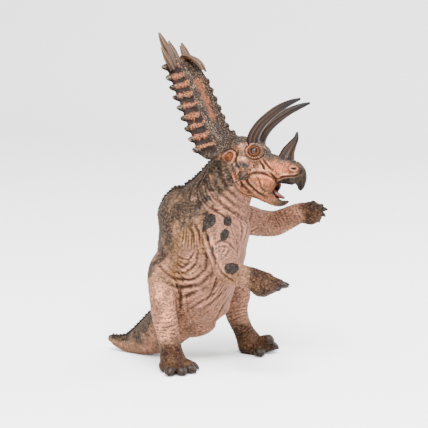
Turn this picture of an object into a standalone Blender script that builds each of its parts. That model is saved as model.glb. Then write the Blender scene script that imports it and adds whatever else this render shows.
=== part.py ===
"""A moulded toy figurine of a long-frilled horned dinosaur, rearing on its hind legs.

The whole animal is lofted from stations, blended into one skin, given its horns, spikes,
claws and frill plates, and then parted by thin cuts into the pieces a person would name.
Stations are in millimetres: x forward, y to the animal's left, z up from the floor.
The head has its own axes: forward, left and up from the level of the eyes.
"""

import math

import bmesh
import bpy
import numpy as np
from mathutils import Matrix, Vector

MM = 0.001                      # metres in a millimetre

# Driving sizes, in millimetres.
CLEARANCE = 0.3                 # gap left between neighbouring pieces
BLEND_VOXEL = 0.9               # grain of the blended skin
SKIN_TRIANGLES = 5000           # facets kept on the blended skin
EYE_RADIUS = 2.3
HORN_SIDES = 10
SMOOTH_DOME = (0.35, 0.65, 0.88)    # steps of a tube's rounded end
PLAIN_DOME = (0.7,)
DOME_REACH = 0.7                # bulge of a tube's end, as a share of its radius
DORSAL_SPIKE = 1.9              # height of the largest spike along the back
DORSAL_PITCH = 4.6              # distance between spikes along the back
TOE_LENGTH = 11.5

# Head axes: the head looks a little down and is tipped to its left.
HEAD_CENTRE = np.array([31.3, 0.0, 134.2])
HEAD_PITCH = math.radians(-4.0)
HEAD_TIP = math.radians(12.0)

# Stations of each tube: x, y, z, half width, front radius, back radius.
TRUNK = [
    (-13, 0, 24, 13, 15.5, 15.5),
    (-13.6, 0, 31, 20, 23.3, 21.5),
    (-13.5, 0, 41, 23.5, 25, 23.5),
    (-11.5, 0, 54, 25, 26.5, 24.7),
    (-9, 0, 66, 26, 29, 26.2),
    (-7.3, 0, 79, 26, 29.6, 26.5),
    (-5.5, 0, 90, 24.5, 30, 29.5),
    (-4, 0, 98.5, 21, 26, 26.5),
    (-2, 0, 104, 14, 17, 17.5)]
NECK = [
    (-9, 0, 90, 19, 21, 20),
    (-3, 0, 100, 19, 23.5, 18),
    (4, 0, 110, 17, 23, 15),
    (11, -1, 119, 14.2, 19.6, 14),
    (17, -0.5, 127, 12, 15.5, 13)]
TAIL = [
    (-20, 1, 33, 19, 16, 18),
    (-30, 2, 23, 15.5, 13, 16),
    (-40, 4, 14.5, 12, 12, 14),
    (-50, 6, 8.8, 9, 9.3, 9.6),
    (-58, 7.5, 6, 6.4, 6.5, 7),
    (-66, 8, 5.8, 4.2, 4.3, 4.6),
    (-73, 7.5, 8.2, 2, 2.2, 2.4)]
RIGHT_ARM = [
    (8, -14, 90, 10, 11, 12),
    (13, -21, 82, 9.5, 9.5, 10.5),
    (18, -28, 72, 7.5, 8, 8.5),
    (22, -31.5, 65, 7.2, 7, 7.6),
    (31, -31.5, 63, 6.4, 7, 6.8),
    (40, -30.5, 61.5, 5.6, 6.2, 5.8),
    (47, -30, 60, 5.4, 5.6, 5.6)]
RIGHT_PALM = [
    (38, -30, 60.5, 5.6, 6, 6.2),
    (43, -30, 58.4, 7.4, 8, 7.8),
    (48.5, -30, 58.5, 8, 5.6, 6),
    (54, -30, 58.9, 6.2, 3.4, 3.4)]
LEFT_ARM = [
    (8, 12, 92, 10, 12, 11),
    (15, 20, 89, 9, 10, 9.5),
    (23, 28, 86, 8, 8.5, 8.5),
    (31, 32, 85.6, 7, 8.4, 8),
    (39, 33.5, 89, 6, 7.4, 7.2),
    (46, 34.5, 92.2, 5.6, 6.6, 6.6),
    (52, 35, 93.4, 5.6, 6.2, 6.2)]
LEFT_PALM = [
    (48, 35, 92, 5, 6.4, 6),
    (53, 35.5, 93, 6.5, 8, 7),
    (57, 36, 93.6, 5.5, 7, 6.5)]
RIGHT_LEG = [
    (-21, -8, 62, 14, 15, 15),
    (-22, -18, 58, 12.5, 12, 13.5),
    (-21, -29, 53, 9.5, 9.5, 10),
    (-20, -34, 46, 8, 8, 7.8),
    (-19, -33.5, 36, 7.4, 7.8, 7.8),
    (-17, -32.5, 25, 6.8, 7, 7.2),
    (-15.5, -31.5, 14, 6.8, 7, 7),
    (-14, -31, 5, 8.6, 8.6, 8.6)]
LEFT_LEG = [
    (-14, 8, 60, 13, 15, 16),
    (-8, 17, 57, 12, 13, 15),
    (0, 25, 51, 10, 11, 12),
    (4.5, 28, 43, 9, 11.2, 9.5),
    (4.5, 29, 34, 8.4, 10.4, 8.4),
    (7, 30, 24, 7, 6.8, 7.6),
    (11, 31.5, 14, 6.6, 6, 7),
    (15, 32.5, 5, 8.6, 9, 8.6)]

# Feet: centre, compass heading in degrees, then each toe's angle from it and its lift.
FEET = {
    "right": ((-13.5, -31.0), -26, ((-55, 0), (-19, 0), (18, 0), (54, 0))),
    "left": ((17.5, 33.0), -4, ((-52, 0), (-18, 7.6), (17, 1.8), (50, 0)))}
# Along a toe: share of its length, height and radius.
TOE_PATH = ((0.4, 4.6, 3.8), (0.75, 4.0, 3.5), (1.0, 3.0, 2.9))
TOE_NAIL = (0.6, 3.4, 3.6, 2.5)     # gap past the toe's end, height, length, radius
NAIL_DROOP = 0.12
FOOT_PAD = (9.6, 9.6, 5.4)
PAD_HEIGHT = 3.6

# Hands: root of each finger and its direction, in body axes.
RIGHT_FINGERS = [
    ((50.5, -35, 57.6), (0.9, -0.45, 0.05)),
    ((52, -31.8, 58.6), (1, -0.1, 0.15)),
    ((52, -28, 58.4), (1, 0.15, 0.12)),
    ((50.5, -25, 57), (0.9, 0.45, 0))]
LEFT_FINGERS = [
    ((54.2, 33.4, 94.9), (0.35, -0.3, 0.9)),
    ((56.1, 34.4, 94.7), (0.8, -0.1, 0.6)),
    ((56.6, 36.4, 94.8), (1, 0.1, 0.15)),
    ((55.8, 37.4, 94.2), (0.9, 0.2, -0.4)),
    ((54.9, 37, 93.2), (0.55, 0.2, -0.8))]
FINGER_PATH = ((-2, 2.6), (2, 2.3), (4.5, 1.7))     # distance from the root, radius
FINGER_NAIL = (4.6, 3.4, 1.7)                       # distance from the root, length, radius

# Head stations: forward, left, up, half width, upper radius, lower radius.
SKULL = [
    (-21, 0, -3, 9, 9, 9),
    (-14, 0, -3, 12.5, 12, 12),
    (-6, 0, -4.5, 12.2, 12.6, 12.6),
    (0, 0, -6.5, 10.6, 12.2, 11.6),
    (5, 0, -8, 8.6, 10.2, 9.4),
    (10, 0, -8.4, 7.2, 9.2, 8.4),
    (16, 0, -8.6, 6.4, 9.0, 7.8),
    (21, 0, -9.2, 5.6, 8.6, 7.4),
    (25, 0, -10.8, 4.2, 7.2, 6.2)]
BEAK = [
    (20, 0, -9.5, 5.0, 8.2, 7.6),
    (24.6, 0, -10.5, 4.2, 7.2, 7.2),
    (27.4, 0, -13.2, 3.0, 4.6, 5.0),
    (28.7, 0, -17, 1.8, 2.4, 2.8),
    (28.3, 0, -20.2, 0.9, 1.0, 1.1),
    (27.7, 0, -21.6, 0.4, 0.4, 0.5)]
JAW = [
    (-12, 0, -15, 11.5, 7, 6),
    (-4, 0, -18.5, 11.5, 9.5, 7),
    (3, 0, -21.5, 9.6, 7.2, 6.8),
    (9, 0, -25.2, 7.2, 5.2, 5),
    (14, 0, -28.3, 5, 3.2, 3),
    (18.5, 0, -28.9, 3.3, 2.1, 1.7),
    (21.5, 0, -27.7, 1.7, 1.2, 1.1),
    (23.2, 0, -26.3, 0.5, 0.5, 0.5)]
CHEEK = [
    (-10, 10, -7, 4, 5, 6),
    (-4, 10.8, -12, 4.2, 7, 7),
    (3, 8.6, -16, 3.6, 8, 6.5),
    (9.4, 6.3, -19, 2.6, 7, 5.5),
    (13, 5.3, -20.8, 1.5, 4.4, 3.6)]
BROW_HORN = [
    (-2, 6, 1, 4.2, 4.2, 4.2),
    (-3.2, 6.8, 8, 3.9, 3.9, 3.9),
    (-0.2, 7.6, 15.5, 3.3, 3.3, 3.3),
    (5.2, 8.6, 22, 2.85, 2.85, 2.85),
    (11.5, 9.6, 27.6, 2.4, 2.4, 2.4),
    (18.5, 10.3, 31.9, 1.75, 1.75, 1.75),
    (24, 10.6, 34.5, 0.8, 0.8, 0.8)]
NOSE_HORN = [
    (17.2, 0, -4, 4.4, 5.6, 5.8),
    (18.1, 0, 2, 3.1, 4.1, 4.5),
    (19.8, 0, 6.5, 2.3, 2.9, 3.2),
    (21.7, 0, 11, 1.5, 1.8, 1.8),
    (22, 0, 15, 0.6, 0.7, 0.7)]
CHEEK_HORN = [
    (-3, 11, -13, 3.2, 3.2, 3.2),
    (-3.7, 14.4, -16.2, 2.7, 2.7, 2.7),
    (-4.2, 17.4, -17.9, 0.8, 0.8, 0.8)]
TONGUE = [
    (9.5, 0, -22.1, 1.9, 1.4, 1.7),
    (12.5, 0, -23.2, 2.0, 1.5, 1.8),
    (16, 0, -24.7, 1.9, 1.4, 1.6),
    (19.3, 0, -25.6, 0.9, 0.9, 0.8)]
MOUTH_CAVITY = [
    (5, 0, -19.5, 3.5, 1.6, 1.6),
    (10, 0, -20.4, 4.4, 2.6, 2.8),
    (15, 0, -21.4, 4.4, 3.6, 4.4),
    (21, 0, -22.2, 8, 4.6, 5),
    (28, 0, -24, 9, 4, 4)]
EYE = (-0.2, 10.4, 0.0)
EYE_RIM = (4.9, 3.4)             # radius of the raised ring of lids and how deep it is

# The frill's own frame, in head axes: its root, the way it runs back, and its front.
FRILL_ROOT = np.array([-14.6, 0.0, 9.4])
FRILL_ALONG = np.array([-0.601, 0.0, 0.799])
FRILL_FRONT = np.array([0.799, 0.0, 0.601])
FRILL_LENGTH = 62.0
FRILL_HALF_WIDTH = 28.0         # at its root; it narrows towards its end
FRILL_NARROWING = 6.5
FRILL_SWEEP = 17.3              # how far the edges lie behind the midline at the root
FRILL_SWEEP_LOSS = 6.5
FRILL_HALF_THICKNESS = 1.5
FRILL_SAG = 3.6                 # the midline dips behind the bosses above the brow
FRILL_BEND = 7.0                # how far its end bends back
FRILL_SET_BACK = 3.6            # how far its middle surface lies behind its root
FRILL_FOOT = (4.5, 7.4)         # reach below the root at the midline, and more at mid half
FRILL_CREST = (58.5, 3.0, 6.0)  # its end: at the notch, rise beside it, fall at the corners
FRILL_GRID = (61, 50)           # columns from edge to edge, and lines from root to end
BAR_RIDGE = (1.3, 2.6)          # height and half width of the midline bar
EDGE_RIDGE = (0.9, 0.92, 0.11)  # height, and share of the half width where it is and spreads
WINDOW_HOLLOW = (0.6, 0.33, 0.13)   # depth, and share of the half width where it is and spreads
WINDOW_END = (44.0, 6.0)        # distance along where the hollow fades out
EDGE_THINNING = 0.35            # thickness left at the rim, as a share
SCALLOPS = 9                    # blunt plates along each edge of the frill
SCALLOP_START = -2.0            # distance along of the first plate
SCALLOP_RUN = 56.0              # from the first plate to the last
SCALLOP_RADIUS = 3.3
SCALLOP_LENGTH = 3.2
SCALLOP_INSET = 1.2             # how far in from the edge a plate is rooted
SCALLOP_LEAN = (1.6, -1.2)      # how far its tip lies further along and behind
KNOB_START = 3.0                # distance along of the first knob
KNOB_PITCH = 6.2                # distance between knobs on the midline bar
KNOB_COUNT = 7
KNOB_RADII = (2.3, 2.1, 1.85)
KNOB_RISE = 0.3                 # height of a knob's centre over the frill's face

# Long points on the frill's end, for each side: along, across and lift, width, depth.
FRILL_POINTS = {
    "corner": [(54, 18.0, -12, 3.8, 2.4), (64, 19.2, -10.6, 3.3, 2.6),
               (71, 20, -10, 2.4, 2), (76.4, 20.5, -9.6, 0.9, 0.8)],
    "outer": [(52, 21.0, -12.8, 3.2, 1.8), (60, 22.6, -12.2, 2.5, 1.8),
              (66.6, 24, -11.6, 0.8, 0.7)],
    "inner": [(56, 10.5, -9.8, 2.8, 1.8), (65, 10.5, -9.4, 2.4, 1.9),
              (72, 10.5, -9, 0.8, 0.7)]}
# The pair of points over the notch, which curl forward over the frill.
CURLED_POINT = [
    (57, 3.6, -9.4, 2.8, 2),
    (60.4, 3.8, -7.2, 3, 1.9),
    (57.6, 4, -3.4, 3, 1.8),
    (52.6, 4, -1.2, 2.4, 1.6),
    (47.2, 3.8, -0.4, 0.7, 0.6)]

# Line followed by the spikes along the back: x and z outside nape, back and tail.
BACK_LINE = [
    (6, 134), (-6, 124), (-15, 116), (-27, 111), (-36, 103), (-40, 92), (-42, 78),
    (-43, 64), (-46, 50), (-52, 40), (-59, 32), (-66, 25), (-74, 20), (-82, 17)]
BACK_CASTS_AT = [
    (2, 124), (-10, 112), (-17, 104), (-22, 98), (-22, 92), (-20, 86), (-18, 76),
    (-18, 64), (-20, 50), (-24, 34), (-34, 20), (-48, 10), (-60, 6), (-70, 7)]

# Saw cuts in body axes: centre, normal, half length, half width, side-to-side direction.
SAW_CUTS = {
    "neck_base": ((-1, 0, 106.4), (0.35, 0, 0.94), 29, 24, (0, 1, 0)),
    "tail_base": ((-29, 1.5, 26), (-0.78, 0, -0.62), 22, 18, (0, 1, 0)),
    "right_shoulder": ((12.5, -21, 80), (0.6, -0.79, -0.08), 19, 24, (0.8, 0.6, 0)),
    "left_shoulder": ((17, 22.5, 88), (0.66, 0.72, -0.2), 15, 16, (0, 0, 1)),
    "right_elbow": ((26, -31.6, 64), (1, 0, -0.25), 11, 11, (0, 1, 0)),
    "left_elbow": ((33, 32.3, 86.8), (0.93, 0.2, 0.3), 11, 11, (0, 1, 0)),
    "right_wrist": ((45.5, -30, 60), (1, 0, -0.35), 11, 11, (0, 1, 0)),
    "left_wrist": ((50, 35, 93), (1, 0.1, 0.25), 11, 11, (0, 1, 0)),
    "right_hip": ((-21, -26.5, 51), (-0.1, -0.97, -0.2), 17, 19, (1, -0.1, 0)),
    "left_hip": ((1, 22.5, 50), (0.5, 0.85, -0.15), 17, 19, (0.85, -0.5, 0)),
    "right_knee": ((-20, -35.4, 41), (0.05, 0, -1), 10.2, 11, (1, 0, 0)),
    "left_knee": ((4.5, 30.3, 37), (0, 0.1, -1), 10.4, 12, (1, 0, 0)),
    "right_ankle": ((-15, -31.3, 12), (0.1, 0, -1), 14, 14, (1, 0, 0)),
    "left_ankle": ((12, 31.8, 12), (0.15, 0, -1), 14, 14, (1, 0, 0))}
# Saw cuts across the head, each from one profile point to another: forward and up of both
# ends, and half width.
HEAD_CUTS = {
    "nape": ((-36, 0.6), (9, -39.2), 22),
    "frill_root": ((-9, 13.6), (-20.8, -13.4), 34),
    "mouth_line": ((2.4, -18.9), (21, -25.4), 20),
    "jaw_line": ((-13, -20.7), (3.6, -19.04), 20)}
HORN_CUTS = {
    "brow_left": ((-2.6, 7, 9.8), (0.3, 0.1, 0.95), 6.2),
    "brow_right": ((-2.6, -7, 9.8), (0.3, -0.1, 0.95), 6.2),
    "nose": ((18, 0, 1.6), (0.25, 0, 1), 6.5),
    "cheek_left": ((-3.8, 15.6, -16.8), (-0.1, 0.75, -0.65), 4.8),
    "cheek_right": ((-3.8, -15.6, -16.8), (-0.1, -0.75, -0.65), 4.8)}

# A point well inside each piece, in body axes or in head axes, and its finish.
BODY_PIECES = {
    "torso": ((-9, 0, 68), "skin"),
    "neck": ((6, 0, 113), "skin"),
    "tail": ((-48, 5, 11), "skin"),
    "upper_arm_right": ((18, -28, 72), "skin"),
    "forearm_right": ((35, -31, 62), "skin"),
    "hand_right": ((51, -30, 56), "dark_skin"),
    "upper_arm_left": ((24, 28, 86), "skin"),
    "forearm_left": ((41, 34, 90), "skin"),
    "hand_left": ((57, 36, 94), "dark_skin"),
    "thigh_right": ((-20.5, -32, 50), "skin"),
    "shin_right": ((-18, -33, 28), "skin"),
    "foot_right": ((-13, -31, 5), "dark_skin"),
    "thigh_left": ((1, 25, 48), "skin"),
    "shin_left": ((6, 30, 26), "skin"),
    "foot_left": ((17, 33, 5), "dark_skin")}
HEAD_PIECES = {
    "head": ((2, 0, -7), "face"),
    "frill": ((-40, 0, 28), "frill"),
    "lower_jaw": ((4, 0, -23), "face"),
    "brow_horn_left": ((6, 8.6, 22), "horn"),
    "brow_horn_right": ((6, -8.6, 22), "horn"),
    "nose_horn": ((20, 0, 7), "horn"),
    "cheek_horn_left": ((-4, 15, -17.2), "horn"),
    "cheek_horn_right": ((-4, -15, -17.2), "horn")}

# Finish of each kind of surface: colour, roughness, metallic.
FINISHES = {
    "skin": ((0.52, 0.34, 0.25), 0.55, 0.0),
    "dark_skin": ((0.30, 0.20, 0.13), 0.55, 0.0),
    "face": ((0.62, 0.38, 0.24), 0.5, 0.0),
    "frill": ((0.40, 0.24, 0.15), 0.55, 0.0),
    "horn": ((0.16, 0.11, 0.08), 0.4, 0.0),
    "tongue": ((0.42, 0.16, 0.12), 0.4, 0.0),
    "eye": ((0.05, 0.015, 0.01), 0.15, 0.0)}


def unit(v):
    """Scale vectors to length one along the last axis."""
    v = np.asarray(v, float)
    return v / np.linalg.norm(v, axis=-1, keepdims=True)


HEAD_FORWARD = np.array([math.cos(HEAD_PITCH), 0.0, math.sin(HEAD_PITCH)])
LEVEL_LEFT = np.array([0.0, 1.0, 0.0])
LEVEL_UP = np.cross(HEAD_FORWARD, LEVEL_LEFT)
HEAD_LEFT = math.cos(HEAD_TIP) * LEVEL_LEFT - math.sin(HEAD_TIP) * LEVEL_UP
HEAD_UP = np.cross(HEAD_FORWARD, HEAD_LEFT)
HEAD_AXES = np.stack([HEAD_FORWARD, HEAD_LEFT, HEAD_UP])


def from_head(points):
    """Head coordinates to body coordinates."""
    return HEAD_CENTRE + np.asarray(points, float) @ HEAD_AXES


def head_direction(vector):
    """A direction in head axes turned into body axes."""
    return np.asarray(vector, float) @ HEAD_AXES


def body(points):
    """Body coordinates stay as they are."""
    return np.asarray(points, float)


def mirrored(stations):
    """The same stations on the head's other side."""
    return [(u, -v, w, a, b, c) for u, v, w, a, b, c in stations]


def through(rows, count):
    """Points on the smooth Catmull-Rom curve through the rows."""
    rows = np.asarray(rows, float)
    padded = np.vstack([2 * rows[0] - rows[1], rows, 2 * rows[-1] - rows[-2]])
    t = np.linspace(0, len(rows) - 1, count)
    i = np.minimum(t.astype(int), len(rows) - 2)
    f = (t - i)[:, None]
    a, b, c, d = (padded[i + k] for k in range(4))
    return 0.5 * (2 * b + (c - a) * f + (2 * a - 5 * b + 4 * c - d) * f**2
                  + (3 * b - a - 3 * c + d) * f**3)


def mesh_object(name, points, faces, collection):
    """A mesh object from points in millimetres, with its faces pointing out."""
    mesh = bpy.data.meshes.new(name)
    mesh.from_pydata((np.asarray(points) * MM).tolist(), [], faces)
    bm = bmesh.new()
    bm.from_mesh(mesh)
    bmesh.ops.recalc_face_normals(bm, faces=bm.faces)
    bm.to_mesh(mesh)
    bm.free()
    thing = bpy.data.objects.new(name, mesh)
    collection.objects.link(thing)
    return thing


def tube(name, stations, collection, place=body, side=(0, 1, 0), sides=28, steps=36,
         dome=SMOOTH_DOME):
    """Loft round sections along the stations, with domed ends, as one closed body.

    A section is centre + side * width * cos + front * depth * sin, where front is square
    to the side direction and to the path, and the depth differs in front and behind.
    Each end bulges out by a share of its smallest radius, through one ring for each dome step.
    """
    rows = through(stations, steps)
    centre = rows[:, :3]
    size = np.maximum(rows[:, 3:], 0.15)
    along = unit(np.gradient(centre, axis=0))
    side = np.asarray(side, float)
    across = unit(side - (along @ side)[:, None] * along)
    front = np.cross(across, along)
    angle = np.linspace(0, 2 * np.pi, sides, endpoint=False)
    cos, sin = np.cos(angle), np.sin(angle)
    depth = np.where(sin > 0, size[:, 1:2], size[:, 2:3])
    rings = (centre[:, None]
             + across[:, None] * (size[:, :1] * cos)[..., None]
             + front[:, None] * (depth * sin)[..., None])
    dome = np.array(dome)
    ends = []
    for index, sign in ((0, -1), (-1, 1)):
        reach = size[index].min() * DOME_REACH
        shrink = np.sqrt(1 - dome**2)[:, None, None]
        out = (along[index] * sign * reach)[None, None] * dome[:, None, None]
        ends.append(centre[index] + (rings[index] - centre[index])[None] * shrink + out)
        ends.append(centre[index] + along[index] * sign * reach)
    rings = np.concatenate([ends[0][::-1], rings, ends[2]])
    points = np.vstack([rings.reshape(-1, 3), ends[1], ends[3]])
    ring = np.arange(len(rings) - 1)[:, None] * sides
    here = np.arange(sides)[None]
    there = (here + 1) % sides
    quads = np.stack([ring + here, ring + there, ring + sides + there, ring + sides + here], -1)
    faces = quads.reshape(-1, 4).tolist()
    first, last, top = len(rings) * sides, len(rings) * sides + 1, (len(rings) - 1) * sides
    faces += [(k, first, (k + 1) % sides) for k in range(sides)]
    faces += [(top + k, top + (k + 1) % sides, last) for k in range(sides)]
    return mesh_object(name, place(points), faces, collection)


def ball(name, centre, radii, collection, place=body, segments=14, rings=8):
    """A sphere stretched to three radii."""
    bm = bmesh.new()
    bmesh.ops.create_uvsphere(bm, u_segments=segments, v_segments=rings, radius=1)
    points = np.array([v.co[:] for v in bm.verts]) * radii + np.asarray(centre)
    faces = [[v.index for v in f.verts] for f in bm.faces]
    bm.free()
    return mesh_object(name, place(points), faces, collection)


def spike(name, root, direction, length, radius, collection, sides=6, flat=1.0, across=(0, 1, 0)):
    """A small pointed cone, its root ring sunk below the surface that carries it."""
    direction = unit(direction)
    across = unit(np.asarray(across, float) - (np.asarray(across, float) @ direction) * direction)
    other = np.cross(direction, across)
    angle = np.linspace(0, 2 * np.pi, sides, endpoint=False)[:, None]
    ring = (across * np.cos(angle) + other * np.sin(angle) * flat) * radius
    root = np.asarray(root, float)
    sunk = root - direction * radius * 0.9
    rings = [sunk + ring, root + ring * 0.95, root + direction * length * 0.6 + ring * 0.45]
    points = np.vstack(rings + [sunk[None], (root + direction * length)[None]])
    faces = []
    for k in range(sides):
        j = (k + 1) % sides
        for level in range(2):
            low = level * sides
            faces.append((low + k, low + j, low + sides + j, low + sides + k))
        faces.append((3 * sides, j, k))
        faces.append((2 * sides + k, 2 * sides + j, 3 * sides + 1))
    return mesh_object(name, points, faces, collection)


def frill_half_width(along):
    """Half the frill's width at a distance from its root."""
    return FRILL_HALF_WIDTH - FRILL_NARROWING * (along / FRILL_LENGTH)


def frill_frame(points):
    """Points given as along, across and lift in the frill's frame, in body axes."""
    points = np.asarray(points, float)
    left = np.array([0.0, 1.0, 0.0])
    return from_head(FRILL_ROOT + points[..., 0:1] * FRILL_ALONG + points[..., 1:2] * left
                     + points[..., 2:3] * FRILL_FRONT)


def frill_depth(along, share):
    """Lift of the frill's middle surface, for a share of its half width.

    The halves fall away behind the midline almost evenly, the midline dips behind the
    brow bosses, and the end bends back a little.
    """
    sweep = FRILL_SWEEP - FRILL_SWEEP_LOSS * (along / FRILL_LENGTH)
    rise = np.clip(along / 7, 0, 1) * np.clip(1 - along / 47, 0, 1)
    bend = np.clip((along - 40) / 24, 0, 2)**2
    middle = (1 - share)**1.5
    return -FRILL_SET_BACK - sweep * share**1.08 - (FRILL_SAG * rise + FRILL_BEND * bend) * middle


def frill_outline(share):
    """Where the frill starts and ends at a share of its half width.

    Each half reaches furthest down behind the cheek, and the end is notched in the middle.
    """
    foot, more = FRILL_FOOT
    notch, rise, fall = FRILL_CREST
    start = -foot - more * np.sin(np.pi * share)
    end = (notch + rise * np.clip(share / 0.35, 0, 1)**1.5
           - fall * np.clip((share - 0.78) / 0.22, 0, 1)**2)
    return start, end


def frill_sheet(collection):
    """The frill as a thick curved sheet with rounded edges, ridged down its midline."""
    columns, lines = FRILL_GRID
    side = np.linspace(-1, 1, columns)
    share = np.abs(side)
    start, end = frill_outline(share)
    run = np.linspace(0, 1, lines)[:, None]
    along = start + (end - start) * run
    across = side * frill_half_width(along)
    rim = np.minimum(np.minimum(run, 1 - run) * 30, (1 - share) * 14)
    soft = np.sqrt(np.clip(1 - (1 - np.clip(rim, 0, 1))**2, 0, 1))
    thick = FRILL_HALF_THICKNESS * (EDGE_THINNING + (1 - EDGE_THINNING) * soft)
    bar = BAR_RIDGE[0] * np.exp(-(across / BAR_RIDGE[1])**2)
    edge = EDGE_RIDGE[0] * np.exp(-((share - EDGE_RIDGE[1]) / EDGE_RIDGE[2])**2)
    hollow = WINDOW_HOLLOW[0] * np.exp(-((share - WINDOW_HOLLOW[1]) / WINDOW_HOLLOW[2])**2)
    hollow = hollow * np.clip((WINDOW_END[0] - along) / WINDOW_END[1], 0, 1)
    depth = frill_depth(along, share)
    face = np.stack([along, across, depth + thick + (bar + edge - hollow) * soft], -1)
    rear = np.stack([along, across, depth - thick], -1)
    points = frill_frame(np.concatenate([face.reshape(-1, 3), rear.reshape(-1, 3)]))
    count = columns * lines
    cell = (np.arange(lines - 1)[:, None] * columns + np.arange(columns - 1)[None]).ravel()
    front = np.stack([cell, cell + 1, cell + columns + 1, cell + columns], -1)
    faces = front.tolist() + (front[:, ::-1] + count).tolist()
    rim = np.concatenate([
        np.arange(columns),
        np.arange(1, lines) * columns + columns - 1,
        (lines - 1) * columns + np.arange(columns - 2, -1, -1),
        np.arange(lines - 2, 0, -1) * columns])
    after = np.roll(rim, -1)
    faces += np.stack([after, rim, rim + count, after + count], -1).tolist()
    return mesh_object("frill_sheet", points, faces, collection)


def frill_trim(bench):
    """Blunt plates along the edges, knobs on the midline bar and points on the end."""
    for side in (-1, 1):
        for k in range(SCALLOPS):
            along = SCALLOP_START + SCALLOP_RUN * k / (SCALLOPS - 1)
            half = frill_half_width(along)
            lift = frill_depth(along, 1.0)
            root = frill_frame([along, side * (half - SCALLOP_INSET), lift])
            tip = frill_frame([along + SCALLOP_LEAN[0], side * (half + SCALLOP_LENGTH),
                               lift + SCALLOP_LEAN[1]])
            spike("scallop", root, tip - root, np.linalg.norm(tip - root), SCALLOP_RADIUS,
                  bench, sides=6, flat=0.55, across=frill_frame([1, 0, 0]) - frill_frame([0, 0, 0]))
        for rows in [*FRILL_POINTS.values(), CURLED_POINT]:
            path = [(a, side * v, lift, wide, deep, deep) for a, v, lift, wide, deep in rows]
            tube("point", path, bench, frill_frame, sides=7, steps=5, dome=PLAIN_DOME)
    for k in range(KNOB_COUNT):
        along = KNOB_START + KNOB_PITCH * k
        lift = frill_depth(along, 0.0) + FRILL_HALF_THICKNESS + KNOB_RISE
        ball("knob", (along, 0, lift), KNOB_RADII, bench, frill_frame, segments=6, rings=4)


def dorsal_spikes(skin, bench):
    """A row of small spikes along nape, back and tail, each cast onto the skin."""
    outer = through([(x, z) for x, z in BACK_LINE], 400)
    inner = through([(x, z) for x, z in BACK_CASTS_AT], 400)
    length = np.concatenate([[0], np.cumsum(np.linalg.norm(np.diff(outer, axis=0), axis=1))])
    tail_x = [row[0] for row in TAIL][::-1]
    tail_y = [row[1] for row in TAIL][::-1]
    for reach in np.arange(2.0, length[-1] - 2, DORSAL_PITCH):
        index = int(np.searchsorted(length, reach))
        target = inner[index]
        y = float(np.interp(target[0], tail_x, tail_y)) if target[0] < -20 else 0.0
        start = Vector((outer[index][0], y, outer[index][1])) * MM
        aim = (Vector((target[0], y, target[1])) * MM - start).normalized()
        hit, point, normal, _ = skin.ray_cast(start, aim)
        if not hit:
            continue
        size = DORSAL_SPIKE * (1.0 - 0.35 * (reach / length[-1]))
        back = unit(outer[min(index + 4, 399)] - outer[index])
        lean = np.array(normal) + 0.45 * np.array([back[0], 0, back[1]])
        spike("dorsal", np.array(point) / MM, lean, size, size * 0.55, bench, sides=4,
              flat=0.8, across=(back[0], 0, back[1]))


def combined(name, base, tools, target, operation):
    """The base mesh united with, or cut by, every closed mesh of a collection."""
    step = base.modifiers.new("step", "BOOLEAN")
    step.operation = operation
    step.operand_type = "COLLECTION"
    step.collection = tools
    for tool in tools.objects:
        tool.hide_render = True
        tool.display_type = "WIRE"
    merged = evaluated_copy(base, name, target)
    for member in [base, *tools.objects]:
        bpy.data.objects.remove(member, do_unlink=True)
    return merged


def evaluated_copy(thing, name, collection):
    """A new object whose mesh has every modifier of the old one applied."""
    graph = bpy.context.evaluated_depsgraph_get()
    mesh = bpy.data.meshes.new_from_object(thing.evaluated_get(graph))
    mesh.name = name
    fresh = bpy.data.objects.new(name, mesh)
    fresh.matrix_world = thing.matrix_world
    collection.objects.link(fresh)
    return fresh


def blended(name, parts, target):
    """Melt overlapping tubes into one skin, smooth it and thin its facets."""
    bm = bmesh.new()
    for part in parts:
        bm.from_mesh(part.data)
        bpy.data.objects.remove(part, do_unlink=True)
    mesh = bpy.data.meshes.new(name)
    bm.to_mesh(mesh)
    bm.free()
    lump = bpy.data.objects.new(name + "_raw", mesh)
    target.objects.link(lump)
    remesh = lump.modifiers.new("blend", "REMESH")
    remesh.mode = "VOXEL"
    remesh.voxel_size = BLEND_VOXEL * MM
    soften = lump.modifiers.new("soften", "SMOOTH")
    soften.factor = 0.5
    soften.iterations = 6
    skin = evaluated_copy(lump, name + "_fine", target)
    bpy.data.objects.remove(lump, do_unlink=True)
    count = sum(len(p.vertices) - 2 for p in skin.data.polygons)
    thin = skin.modifiers.new("thin", "DECIMATE")
    thin.ratio = SKIN_TRIANGLES / count
    thin.use_collapse_triangulate = True
    light = evaluated_copy(skin, name, target)
    bpy.data.objects.remove(skin, do_unlink=True)
    return light


def plate(name, centre, normal, reach, collection, across=(0, 1, 0), wide=None):
    """A thin slab, used as a saw: it parts what it crosses by the clearance."""
    normal = unit(normal)
    across = unit(np.asarray(across, float) - (np.asarray(across, float) @ normal) * normal)
    other = np.cross(normal, across)
    bm = bmesh.new()
    bmesh.ops.create_cube(bm, size=1)
    wide = wide or reach
    axes = Matrix([across * 2 * wide, other * 2 * reach, normal * CLEARANCE]).transposed()
    bm.transform(axes.to_4x4())
    points = np.array([v.co[:] for v in bm.verts]) + np.asarray(centre)
    faces = [[v.index for v in f.verts] for f in bm.faces]
    bm.free()
    return mesh_object(name, points, faces, collection)


def head_plate(name, start, end, half_wide, collection):
    """A saw slab that runs from one profile point of the head to another, side to side."""
    start, end = np.asarray(start, float), np.asarray(end, float)
    middle = (start + end) / 2
    run = end - start
    normal = np.array([-run[1], 0.0, run[0]])
    centre = from_head([middle[0], 0.0, middle[1]])
    reach = np.linalg.norm(run) / 2
    return plate(name, centre, head_direction(normal), reach, collection,
                 across=HEAD_LEFT, wide=half_wide)


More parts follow.
